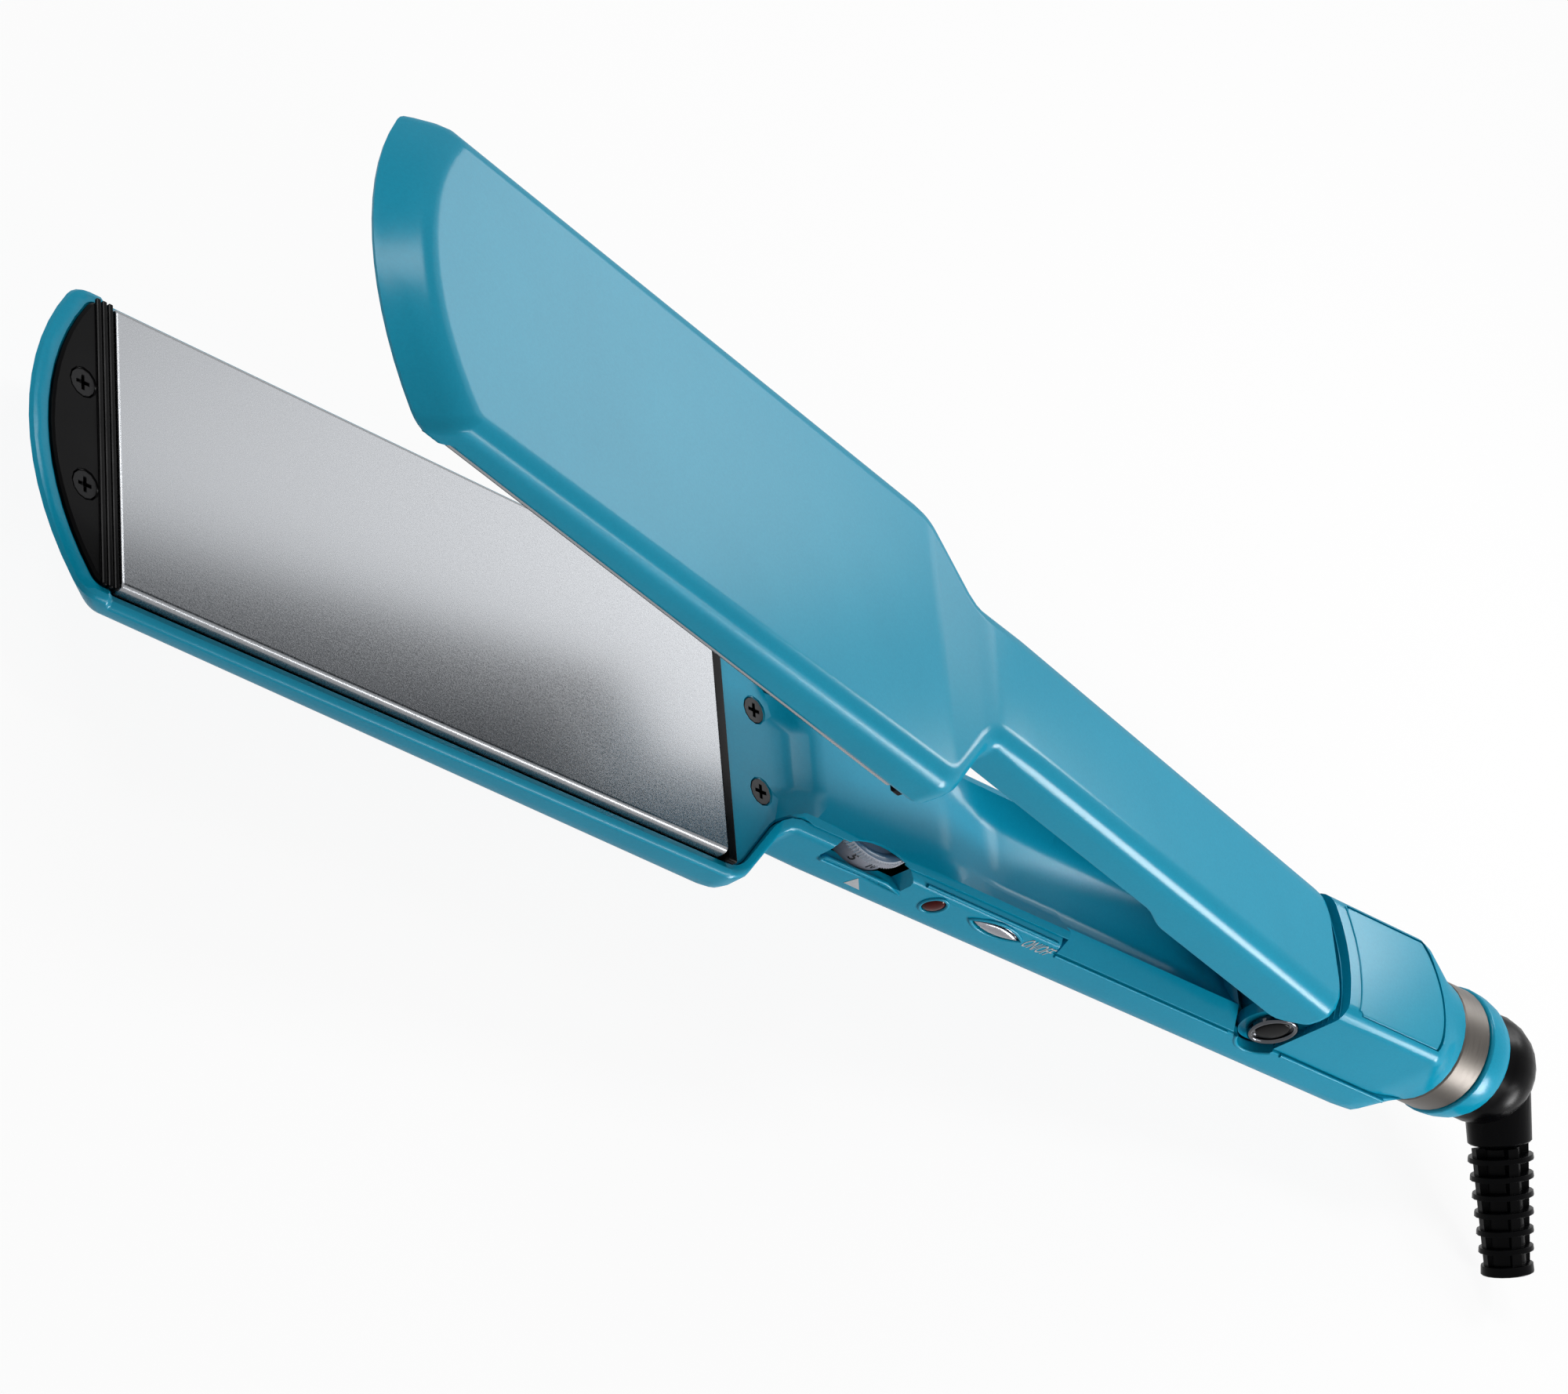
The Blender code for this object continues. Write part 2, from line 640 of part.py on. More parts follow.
def add_bosses(shell, arm, side, parent, back):
    """Stand a drilled boss on the shell's floor under each screw."""
    for name, x, y, head, clamped in screw_places():
        top = head + clamped + CLEARANCE
        foot = back(x) - 0.65 * WALL
        boss = [(side * top, BOSS_RADIUS), (side * foot, BOSS_RADIUS)]
        bm = turned_mesh(boss, (x, y, 0), (0, 0, 1), 12)
        fuse(shell, make_object(f"{arm}_{name}_boss", bm, "teal_plastic", parent))
        drill = [(side * head, SCREW_SHANK_RADIUS + CLEARANCE),
                 (side * (head + SCREW_LENGTH + CLEARANCE), SCREW_SHANK_RADIUS + CLEARANCE)]
        bm = turned_mesh(drill, (x, y, 0), (0, 0, 1), 10)
        cut(shell, make_object(f"{arm}_{name}_drill", bm, "teal_plastic", parent))


def screw_profile(side, head, grown=0.0, length=SCREW_LENGTH):
    """Return a countersunk screw's profile, or its hole's when grown."""
    cone = SCREW_HEAD_RADIUS - SCREW_SHANK_RADIUS
    return [(side * head, SCREW_HEAD_RADIUS + grown),
            (side * (head + 0.15), SCREW_HEAD_RADIUS + grown),
            (side * (head + 0.15 + cone), SCREW_SHANK_RADIUS + grown),
            (side * (head + length), SCREW_SHANK_RADIUS + grown)]


def make_screws(arm, side, parent):
    """Model the four countersunk cross-head screws of an arm."""
    for name, x, y, head, _ in screw_places():
        sunk = head + 0.1
        bm = turned_mesh(screw_profile(side, sunk), (x, y, 0), (0, 0, 1), 12)
        screw = make_object(f"{arm}_{name}", bm, "dark_steel", parent)
        long, wide = 1.3, SCREW_SLOT_WIDTH / 2
        for number, (dx, dy) in enumerate(((long, wide), (wide, long))):
            low, high = sorted((side * (sunk - 0.5), side * (sunk + SCREW_SLOT_DEPTH)))
            bm = box_mesh(x - dx, x + dx, y - dy, y + dy, low, high)
            cut(screw, make_object(f"{arm}_{name}_slot_{number}", bm, "dark_steel", parent))


def cut_screw_holes(target, arm, side, parent, wanted, thickness):
    """Countersink a cap or cover for the screws whose names hold a word."""
    for name, x, y, head, _ in screw_places():
        if wanted not in name:
            continue
        profile = screw_profile(side, head, CLEARANCE, thickness + 1.5)
        profile.insert(0, (side * (head - 1.5), SCREW_HEAD_RADIUS + CLEARANCE))
        bm = turned_mesh(profile, (x, y, 0), (0, 0, 1), 12)
        cut(target, make_object(f"{arm}_{name}_hole", bm, "teal_plastic", parent))


# --- pieces that both arms have --------------------------------------------------
def section_prism(outline, side, x0, x1):
    """Extrude a (y, depth) outline along X."""
    return prism_mesh([(y, side * depth) for y, depth in outline], x0, x1, "X")


def make_plate(arm, side, parent):
    """Model a heating plate with two rounded long edges."""
    face = PLATE_GAP / 2
    half, radius = PLATE_WIDTH / 2, PLATE_EDGE_RADIUS
    outline = arc_points((half - radius, face + radius), radius, 0, -90, 4)
    outline += arc_points((radius - half, face + radius), radius, -90, -180, 4)
    outline += [(-half, face + PLATE_THICKNESS), (half, face + PLATE_THICKNESS)]
    bm = section_prism(outline, side, PLATE_FRONT_X, PLATE_REAR_X)
    return make_object(f"{arm}_plate", bm, "titanium_plate", parent)


def make_carrier(arm, side, parent):
    """Model the black carrier under a plate, with its ridge behind the plate."""
    top = PLATE_GAP / 2 + PLATE_THICKNESS + CLEARANCE
    bottom = top + CARRIER_DEPTH
    half = PLATE_WIDTH / 2 - CARRIER_INSET
    rear = PLATE_REAR_X + CLEARANCE + END_RIDGE
    low, high = sorted((side * top, side * bottom))
    bm = box_mesh(PLATE_FRONT_X + 3.0, rear, -half, half, low, high)
    carrier = make_object(f"{arm}_plate_carrier", bm, "black_plastic", parent)
    front = PLATE_REAR_X + CLEARANCE
    low, high = sorted((side * END_RIDGE_DEPTH, side * (top + 1.0)))
    ridge = box_mesh(front, rear, -half, half, low, high, 0.3)
    fuse(carrier, make_object(f"{arm}_end_ridge", ridge, "black_plastic", parent))
    half = PLATE_WIDTH / 2 + END_RIDGE_OVERHANG
    low, high = sorted((side * END_RIDGE_DEPTH, side * (SIDE_RIM_DEPTH - CLEARANCE)))
    ends = box_mesh(front, rear, -half, half, low, high, 0.3)
    fuse(carrier, make_object(f"{arm}_ridge_ends", ends, "black_plastic", parent))
    length, width = HEATER_LENGTH / 2 + 2.0, HEATER_WIDTH / 2 + 1.0
    middle = (PLATE_FRONT_X + PLATE_REAR_X) / 2
    low, high = sorted((side * (top - 1.0), side * (top + POCKET_DEPTH)))
    pocket = box_mesh(middle - length, middle + length, -width, width, low, high)
    cut(carrier, make_object(f"{arm}_heater_pocket", pocket, "black_plastic", parent))
    length, width = FUSE_LENGTH / 2 + 1.0, FUSE_RADIUS + CLEARANCE
    groove = box_mesh(middle - length, middle + length, FUSE_Y - width, FUSE_Y + width,
                      *sorted((side * (top - 1.0), side * (top + 2 * width - CLEARANCE))))
    cut(carrier, make_object(f"{arm}_fuse_groove", groove, "black_plastic", parent))
    return carrier


def make_heater(arm, side, parent):
    """Model the heater bar, its leaf clip and its thermal fuse."""
    top = PLATE_GAP / 2 + PLATE_THICKNESS + CLEARANCE
    middle = (PLATE_FRONT_X + PLATE_REAR_X) / 2
    half = HEATER_WIDTH / 2
    low, high = sorted((side * top, side * (top + HEATER_THICKNESS)))
    bm = box_mesh(middle - HEATER_LENGTH / 2, middle + HEATER_LENGTH / 2, -half, half, low, high)
    make_object(f"{arm}_heater", bm, "ceramic", parent)
    floor = top + POCKET_DEPTH - CLEARANCE
    low, high = sorted((side * (floor - CLIP_THICKNESS), side * floor))
    reach = HEATER_LENGTH / 2 - 8.0
    bm = box_mesh(middle - reach, middle + reach, 1.0 - half, half - 1.0, low, high)
    make_object(f"{arm}_heater_clip", bm, "spring_steel", parent)
    depth = side * (top + FUSE_RADIUS)
    profile = [(-FUSE_LENGTH / 2, 0.35), (1.0 - FUSE_LENGTH / 2, 0.35),
               (1.0 - FUSE_LENGTH / 2, FUSE_RADIUS), (FUSE_LENGTH / 2 - 1.0, FUSE_RADIUS),
               (FUSE_LENGTH / 2 - 1.0, 0.35), (FUSE_LENGTH / 2, 0.35)]
    bm = turned_mesh(profile, (middle, FUSE_Y, depth), (1, 0, 0), 12)
    make_object(f"{arm}_thermal_fuse", bm, "nickel", parent)


def make_tip_cap(arm, side, parent):
    """Model the black nose cap in front of a plate, with its grip ridges."""
    rear = PLATE_FRONT_X - CLEARANCE
    loops = []
    for front, inset, depth in ((5.7, 4.2, CAP_DEPTH + CAP_THICKNESS), (3.6, 2.7, 2.0),
                                (3.3, 2.4, 1.5), (3.35, 2.45, CAP_DEPTH + 0.3),
                                (3.8, 2.9, CAP_DEPTH)):
        plan = nose_outline(side, front, inset)
        plan += [(rear, plan[-1][1]), (rear, 0.0)]
        loops.append([(x, y, side * depth) for x, y in plan])
    cap = make_object(f"{arm}_tip_cap", layered_mesh(loops), "black_plastic", parent)
    half = BODY_HALF_WIDTH - CAP_RIDGE_INSET
    for number in range(CAP_RIDGES):
        back = rear - number * CAP_RIDGE_PITCH
        low, high = sorted((side * (CAP_DEPTH - CAP_RIDGE_RISE),
                            side * (NOSE_RIM_DEPTH - CLEARANCE)))
        bm = box_mesh(back - CAP_RIDGE_PITCH + CLEARANCE, back, -half, half, low, high, 0.2)
        fuse(cap, make_object(f"{arm}_cap_ridge_{number}", bm, "black_plastic", parent))
    cut_screw_holes(cap, arm, side, parent, "tip_screw", CAP_THICKNESS)
    return cap


def make_arm_fittings(arm, side, parent):
    """Model what both arms hold: plate, carrier, heater, cap and screws."""
    make_plate(arm, side, parent)
    make_carrier(arm, side, parent)
    make_heater(arm, side, parent)
    make_tip_cap(arm, side, parent)
    make_screws(arm, side, parent)


# --- inner covers -----------------------------------------------------------------
def cover_loop(side, inset, depth, rail, end_x):
    """Return a cover's plan loop, inset from the arm's outline.

    Inset and depth are rules of x.
    """
    near = inset(COVER_FRONT_X)
    front = COVER_FRONT_X + 0.3 * (near - SKIN)
    end_x -= 0.3 * max(0.0, inset(end_x) - SKIN)
    points = [(front, 0.0), (front, BODY_HALF_WIDTH - near - 0.6)]
    floor_x = front
    for x, y, nx, ny in SHOULDER:
        if x < COVER_FRONT_X + 1.0:
            continue
        floor_x = max(floor_x + 0.3, x - inset(x) * nx)
        points.append((floor_x, y - inset(x) * ny))
    points += [(x, HANDLE_HALF_WIDTH - inset(x)) for x in rail]
    points += [(end_x, HANDLE_HALF_WIDTH - inset(end_x)), (end_x, 0.0)]
    return [(x, y, side * depth(x)) for x, y in points]


def deck_depth(x):
    """Return the depth of the lower cover's middle."""
    ramp = blend(PAD_DEPTH, -DECK_HEIGHT, smoothstep(PAD_REAR_X, DECK_FRONT_X, x))
    return ramp + TROUGH_DEPTH * smoothstep(TROUGH_FRONT_X, TROUGH_FULL_X, x)


def low_side(x):
    """Return 1 behind the control deck's step and 0 in front of it."""
    return smoothstep(CONTROL_REAR_X + CLEARANCE, CONTROL_REAR_X + CLEARANCE + STEP_LENGTH, x)


def lip_depth(x):
    """Return the depth of the lower cover's lip, just above the shell's rim."""
    high = blend(PAD_DEPTH + 0.9, SEAM_DEPTH, smoothstep(PAD_REAR_X, NECK_X, x))
    return blend(high, LOW_SEAM_DEPTH, low_side(x)) - CLEARANCE


def lip_inset(x):
    """Return how far the lip lies in from the handle's side."""
    high = blend(SKIN, LIP_INSET, smoothstep(NECK_X - 0.5, NECK_X + 2.0, x))
    return blend(high, LOW_LIP_INSET, low_side(x))


def rail_depth(x):
    """Return the depth of the rail along the top of the lip's chamfer."""
    high = blend(PAD_DEPTH, -RAIL_HEIGHT, smoothstep(PAD_REAR_X, NECK_X, x))
    return blend(high, 1.0, low_side(x))


def make_lower_cover(parent):
    """Model the lower inner cover: pad, ramp, control deck, rails and trough."""
    step = CONTROL_REAR_X + CLEARANCE
    rail = [-122.0, DECK_FRONT_X, -112.0, -104.0, TROUGH_FRONT_X, -86.0, -81.0, -76.0,
            TROUGH_FULL_X, step, step + STEP_LENGTH, -40.0, -25.0]

    def loop(inset, depth):
        return cover_loop(LOWER, inset, depth, rail, DECK_REAR_X)

    def under(x):
        return max(deck_depth(x) + COVER_THICKNESS, lip_depth(x) + 0.3)

    loops = [
        loop(lambda x: SKIN + 3.0, under),
        loop(lambda x: SKIN, lambda x: under(x) - 0.2),
        loop(lambda x: SKIN, lip_depth),
        loop(lip_inset, lambda x: lip_depth(x) - 0.1),
        loop(lip_inset, lambda x: lip_depth(x) - 0.35),
        loop(lambda x: blend(SKIN + 0.4, 4.4, low_side(x)), rail_depth),
        loop(lambda x: SKIN + 3.7, lambda x: blend(deck_depth(x), rail_depth(x), 0.35)),
        loop(lambda x: SKIN + 6.2, deck_depth),
    ]
    cover = make_object("lower_inner_cover", layered_mesh(loops), "teal_plastic", parent)
    room = DIAL_RADIUS + CLEARANCE
    profile = [(-DIAL_DRUM_HEIGHT * 4, room), (DIAL_TOP + CLEARANCE, room)]
    bm = turned_mesh(profile, (DIAL_X, DIAL_Y, 0), (0, 0, 1), 40)
    cut(cover, make_object("dial_pocket", bm, "teal_plastic", parent))
    cut(cover, make_scoop("dial_cover_scoop", parent))
    half, rise = button_flange_size()
    inside = WALL + CLEARANCE + 0.1 + BUTTON_FLANGE + BUTTON_TRAVEL + CLEARANCE
    bm = box_mesh(BUTTON_X - half - CLEARANCE, BUTTON_X + half + CLEARANCE,
                  -HANDLE_HALF_WIDTH, inside - HANDLE_HALF_WIDTH,
                  -HANDLE_DEPTH, rise + CLEARANCE - BUTTON_DEPTH)
    cut(cover, make_object("button_room", bm, "teal_plastic", parent))
    cut_screw_holes(cover, "lower", LOWER, parent, "cover_screw", COVER_THICKNESS)
    return cover


def make_scoop(name, parent):
    """Return the cutter of the finger scoop that shows the dial's top."""
    half = SCOOP_LENGTH / 2
    depth = SCOOP_DEPTH
    radius = (half ** 2 + depth ** 2) / (2 * depth)
    middle = (DIAL_WINDOW_FRONT_X + DIAL_WINDOW_REAR_X) / 2
    centre_y = -(HANDLE_HALF_WIDTH - SCOOP_INSET) + depth - radius
    bm = turned_mesh([(-SEAM_DEPTH, radius), (4.0, radius)], (middle, centre_y, 0), (0, 0, 1), 60)
    return make_object(name, bm, "teal_plastic", parent)


def make_upper_cover(parent):
    """Model the upper inner cover with the hinge knuckle that carries the arm."""
    def face(x):
        rise = (UPPER_COVER_REAR - UPPER_COVER_FRONT) * max(0.0, 1 - x / PAD_REAR_X)
        return blend(PAD_DEPTH, UPPER_COVER_FRONT + rise,
                     smoothstep(PAD_REAR_X - 1.5, DECK_FRONT_X, x))

    end_x = UPPER_END_X - WALL - 2 * CLEARANCE
    rail = [-122.0, DECK_FRONT_X, -92.0, -45.0]

    def loop(inset, offset):
        return cover_loop(UPPER, lambda x: inset, lambda x: face(x) + offset, rail, end_x)

    rounding = UPPER_END_CORNER - WALL
    loops = [loop(SKIN + rounding + 1.6, COVER_THICKNESS), loop(SKIN + rounding, 1.2),
             loop(SKIN + rounding, 0.4), loop(SKIN + rounding + 0.4, 0.0),
             loop(SKIN + 6.0, 0.0)]
    cover = make_object("upper_inner_cover", layered_mesh(loops), "teal_plastic", parent)
    half = KNUCKLE_HALF_WIDTH
    top = UPPER_COVER_REAR + 0.5
    seat = SPRING_RADIUS + SPRING_WIRE / 2 + CLEARANCE
    web = box_mesh(-9.0, end_x - 0.5, -half, half, seat, top)
    fuse(cover, make_object("knuckle_web", web, "teal_plastic", parent))
    outline = arc_points((0, 0), KNUCKLE_RADIUS, 180, 360, 14)
    outline += [(KNUCKLE_RADIUS - 0.6, 3.0), (end_x - 0.6, seat + 1.0),
                (-KNUCKLE_RADIUS, seat + 1.0)]
    bm = prism_mesh(outline, -half, KNUCKLE_END_Y, "Y")
    fuse(cover, make_object("knuckle_barrel", bm, "teal_plastic", parent))
    bore = PIN_RADIUS + CLEARANCE
    bm = turned_mesh([(-half - 1, bore), (half + 1, bore)], (0, 0, 0), (0, 1, 0), 24)
    cut(cover, make_object("knuckle_bore", bm, "teal_plastic", parent))
    cut_screw_holes(cover, "upper", UPPER, parent, "cover_screw", COVER_THICKNESS)
    return cover


# --- lower shell and hub --------------------------------------------------------------
def side_wall_tool(name, bm, parent):
    """Return a cutter for the side wall that carries the controls."""
    return make_object(name, bm, "teal_plastic", parent)


def make_lower_shell(parent):
    """Model the lower shell with its windows, scallops and cord passage."""
    shell = make_shell("lower_shell", LOWER, parent, lower_depth, lower_rim, lower_rear)
    add_bosses(shell, "lower", LOWER, parent, lower_depth)
    outside, inside = -HANDLE_HALF_WIDTH - 1.0, -HANDLE_HALF_WIDTH + SKIN + 1.5
    front, rear = DIAL_WINDOW_FRONT_X, DIAL_WINDOW_REAR_X
    close = DIAL_WINDOW_SLOPE * (inside + HANDLE_HALF_WIDTH)
    outline = [(front, outside), (rear, outside), (rear, -HANDLE_HALF_WIDTH),
               (rear - close, inside), (front + close, inside), (front, -HANDLE_HALF_WIDTH)]
    window = prism_mesh(outline, -DIAL_WINDOW_DEPTH, 1.0)
    radius = DIAL_RADIUS - DIAL_DRUM_STEP + CLEARANCE
    low = DIAL_TOP - DIAL_KNURL - DIAL_DRUM_HEIGHT - CLEARANCE
    drum_room = turned_mesh([(low, radius), (1.0, radius)], (DIAL_X, DIAL_Y, 0), (0, 0, 1), 40)
    reach = [(outside, LED_RADIUS + CLEARANCE), (inside, LED_RADIUS + CLEARANCE)]
    led = turned_mesh(reach, (LED_X, 0, -LED_DEPTH), (0, 1, 0), 20)
    grown = lens_outline(BUTTON_LENGTH + 4 * CLEARANCE, BUTTON_HEIGHT + 2 * CLEARANCE)
    outline = [(BUTTON_X + a, b - BUTTON_DEPTH) for a, b in grown]
    slot = prism_mesh(outline, outside, inside, "Y")
    reach = [(-HANDLE_HALF_WIDTH - 1.0, HINGE_RECESS_RADIUS),
             (HANDLE_HALF_WIDTH + 1.0, HINGE_RECESS_RADIUS)]
    scallop = turned_mesh(reach, (0, 0, 0), (0, 1, 0), 36)
    for name, bm in (("dial_window", window), ("dial_room", drum_room), ("led_hole", led),
                     ("button_hole", slot),
                     ("hinge_scallop", scallop), ("shell_passage", cord_passage())):
        cut(shell, side_wall_tool(name, bm, parent))
    seat = box_mesh(-9.6, -6.6, 0.6, 3.4, WALL / 2 - HANDLE_DEPTH, spring_seat_z())
    fuse(shell, make_object("spring_seat", seat, "teal_plastic", parent))
    return shell


def cord_passage():
    """Return the bore that lets the collar's spigot through the end walls."""
    radius = SPIGOT_RADIUS + CLEARANCE
    profile = [(HUB_END_X - WALL - 1.5, radius), (HUB_END_X + 3.0, radius)]
    return turned_mesh(profile, (0, 0, CORD_AXIS_Z), (1, 0, 0), 32)


def hub_section(x, bottom):
    """Return the hub's (y, z) section at a station, right side first."""
    corner = HUB_CORNER_RADIUS
    square = [(HUB_HALF_WIDTH, bottom), (HUB_HALF_WIDTH, 1.0), (HUB_HALF_WIDTH, 6.0)]
    square += arc_points((HUB_HALF_WIDTH - corner, HUB_TOP - corner), corner, 0, 90, 5)
    square += [(5.0, HUB_TOP), (0.0, HUB_TOP)]
    low = math.degrees(math.asin((bottom - CORD_AXIS_Z) / RING_RADIUS))
    round_end = arc_points((0, CORD_AXIS_Z), RING_RADIUS, low, 90, len(square) - 1)
    share = rear_share(x)
    right = [(blend(a, c, share), blend(b, d, share))
             for (a, b), (c, d) in zip(square, round_end)]
    left = [(-y, z) for y, z in reversed(right[:-1])]
    return right + left


def lofted_mesh(stations, section):
    """Skin closed (y, z) sections along X and cap both ends."""
    bm = bmesh.new()
    rings = []
    for x in stations:
        rings.append([bm.verts.new((x, y, z)) for y, z in section(x)])
    for first, second in zip(rings, rings[1:]):
        for k in range(len(first)):
            n = (k + 1) % len(first)
            bm.faces.new((first[k], first[n], second[n], second[k]))
    bm.faces.new(rings[0])
    bm.faces.new(rings[-1])
    return bm


def panel_outline(grown=0.0):
    """Return the plan of the hub's cover panel, bowed at both ends."""
    half = PANEL_HALF_WIDTH + grown
    front_radius = HUB_FRONT_ARC + PANEL_FRONT_X - HUB_FRONT_X - grown
    front_centre = HUB_FRONT_X - HUB_FRONT_ARC
    rear_radius = PANEL_REAR_ARC + grown
    rear_centre = PANEL_REAR_X - PANEL_REAR_ARC
    points = []
    for k in range(-5, 6):
        y = (half - 1.0) * k / 5
        points.append((front_centre + math.sqrt(front_radius ** 2 - y * y), y))
    front_corner = points[-1][0]
    points.append((front_corner + 0.7, half))
    rear = []
    for k in range(5, -6, -1):
        y = (half - 2.0) * k / 5
        rear.append((rear_centre + math.sqrt(rear_radius ** 2 - y * y), y))
    points.append((rear[0][0] - 1.6, half))
    points += rear
    points.append((rear[0][0] - 1.6, -half))
    points.append((front_corner + 0.7, -half))
    return points


def make_hub(parent):
    """Model the hub housing with its cheeks, cavity and panel pocket."""
    bottom = CLEARANCE - LOW_SEAM_DEPTH
    stations = [HUB_FRONT_X - 4.0, HUB_TAPER_X, 35.5, 38.0, 40.5, 42.6, HUB_END_X]
    hub = make_object("hub_housing", lofted_mesh(stations, lambda x: hub_section(x, bottom)),
                      "teal_plastic", parent)
    front = [(-5.0 + bottom, HUB_FRONT_ARC), (HUB_TOP + 5.0, HUB_FRONT_ARC)]
    bm = turned_mesh(front, (HUB_FRONT_X - HUB_FRONT_ARC, 0, 0), (0, 0, 1), 80)
    cut(hub, make_object("hub_front_arc", bm, "teal_plastic", parent))
    pocket_floor = HUB_TOP - PANEL_DROP - PANEL_THICKNESS - CLEARANCE
    bm = prism_mesh(panel_outline(CLEARANCE), pocket_floor, HUB_TOP + 5.0)
    cut(hub, make_object("panel_pocket", bm, "teal_plastic", parent))
    ceiling = pocket_floor - 1.0
    side = HUB_HALF_WIDTH - WALL - 0.5
    bm = box_mesh(HUB_FRONT_X + WALL, HUB_TAPER_X + 2.5, -side, side, bottom - 5.0, ceiling, 1.0)
    cut(hub, make_object("hub_cavity", bm, "teal_plastic", parent))
    profile = [(HUB_TAPER_X - 3.0, RING_RADIUS - WALL), (HUB_END_X - WALL, RING_RADIUS - WALL)]
    bm = turned_mesh(profile, (0, 0, CORD_AXIS_Z), (1, 0, 0), 32)
    cut(hub, make_object("hub_rear_cavity", bm, "teal_plastic", parent))
    cut(hub, make_object("hub_passage", cord_passage(), "teal_plastic", parent))
    outline = arc_points((0, 0), CHEEK_RADIUS, 90, 270, 14)
    outline += [(1.5, -CHEEK_RADIUS), (4.0, bottom), (HUB_FRONT_X + WALL, bottom),
                (HUB_FRONT_X + WALL, CHEEK_RADIUS)]
    inner = KNUCKLE_HALF_WIDTH + CLEARANCE
    for name, low, high in (("near", -CHEEK_HALF_WIDTH, -inner), ("far", inner, CHEEK_HALF_WIDTH)):
        bm = prism_mesh(outline, low, high, "Y")
        fuse(hub, make_object(f"{name}_cheek", bm, "teal_plastic", parent))
    bore = PIN_RADIUS + 0.1
    reach = CHEEK_HALF_WIDTH + 2.0
    bm = turned_mesh([(-reach, bore), (reach, bore)], (0, 0, 0), (0, 1, 0), 24)
    cut(hub, make_object("hub_pin_bore", bm, "teal_plastic", parent))
    bm = prism_mesh(panel_outline(), pocket_floor + CLEARANCE, HUB_TOP - PANEL_DROP)
    make_object("hub_cover_panel", bm, "teal_plastic", parent)


def spring_seat_z():
    """Return the height of the rib that the spring's lower leg rests on."""
    return spring_points()[0].z - SPRING_WIRE / 2 - CLEARANCE


def spring_points():
    """Return the torsion spring's wire path from its lower to its upper leg.

    The lower leg slants to a rib on the shell's floor, and the upper leg lies
    along the open arm.
    """
    start = math.radians(-60)
    end = math.radians(90 - OPEN_ANGLE + 360 * (SPRING_TURNS - 0.5))
    count = round(SPRING_TURNS * 12)
    coil = []
    y0 = KNUCKLE_END_Y + CLEARANCE + SPRING_WIRE / 2 + 0.1
    for k in range(count + 1):
        angle = blend(start, end, k / count)
        y = y0 + SPRING_PITCH * (angle - start) / math.tau
        coil.append(Vector((SPRING_RADIUS * math.cos(angle), y, SPRING_RADIUS * math.sin(angle))))
    lower = Vector((-math.sin(start), 0, math.cos(start)))
    upper = Vector((-math.sin(end), 0, math.cos(end)))
    return [coil[0] - lower * SPRING_LEG] + coil + [coil[-1] + upper * SPRING_LEG]


def make_wire(name, points, radius, slot, parent, resolution=1):
    """Model a wire or lead along points in millimetres."""
    curve = bpy.data.curves.new(name, "CURVE")
    curve.dimensions = "3D"
    curve.bevel_depth = radius * MM
    curve.bevel_resolution = resolution
    curve.use_fill_caps = True
    spline = curve.splines.new("POLY")
    spline.points.add(len(points) - 1)
    for point, place in zip(spline.points, points):
        point.co = (*(Vector(place) * MM), 1.0)
    curve.materials.append(material(slot))
    made = bpy.data.objects.new(name, curve)
    bpy.context.collection.objects.link(made)
    made.parent = parent
    return made


def make_hinge(parent):
    """Model the hinge pin, its two bright caps and the opening spring."""
    profile = [(-CHEEK_HALF_WIDTH, PIN_RADIUS), (CHEEK_HALF_WIDTH, PIN_RADIUS)]
    bm = turned_mesh(profile, (0, 0, 0), (0, 1, 0), 24)
    make_object("hinge_pin", bm, "spring_steel", parent)
    inner = CHEEK_HALF_WIDTH + CLEARANCE
    for name, sign in (("near", -1), ("far", 1)):
        thick, radius = HINGE_CAP_THICKNESS, HINGE_CAP_RADIUS
        profile = [(0.0, radius), (thick - 0.5, radius), (thick - 0.15, radius - 0.2),
                   (thick, radius - 0.6), (thick - 0.1, radius - 1.0),
                   (thick - 0.35, radius - 1.4), (thick - 0.05, 1.5), (thick, 0)]
        bm = turned_mesh(profile, (0, sign * inner, 0), (0, sign, 0), 28)
        make_object(f"hinge_cap_{name}", bm, "black_chrome", parent)
    make_wire("torsion_spring", spring_points(), SPRING_WIRE / 2, "spring_steel", parent, 0)


# --- cord end ---------------------------------------------------------------------------
RING_FRONT_X = HUB_END_X + CLEARANCE
RING_REAR_X = RING_FRONT_X + RING_WIDTH
COLLAR_FRONT_X = RING_REAR_X + CLEARANCE
COLLAR_REAR_X = COLLAR_FRONT_X + COLLAR_LENGTH
FLANGE_REAR_X = HUB_END_X - WALL - CLEARANCE
FLANGE_FRONT_X = FLANGE_REAR_X - FLANGE_WIDTH


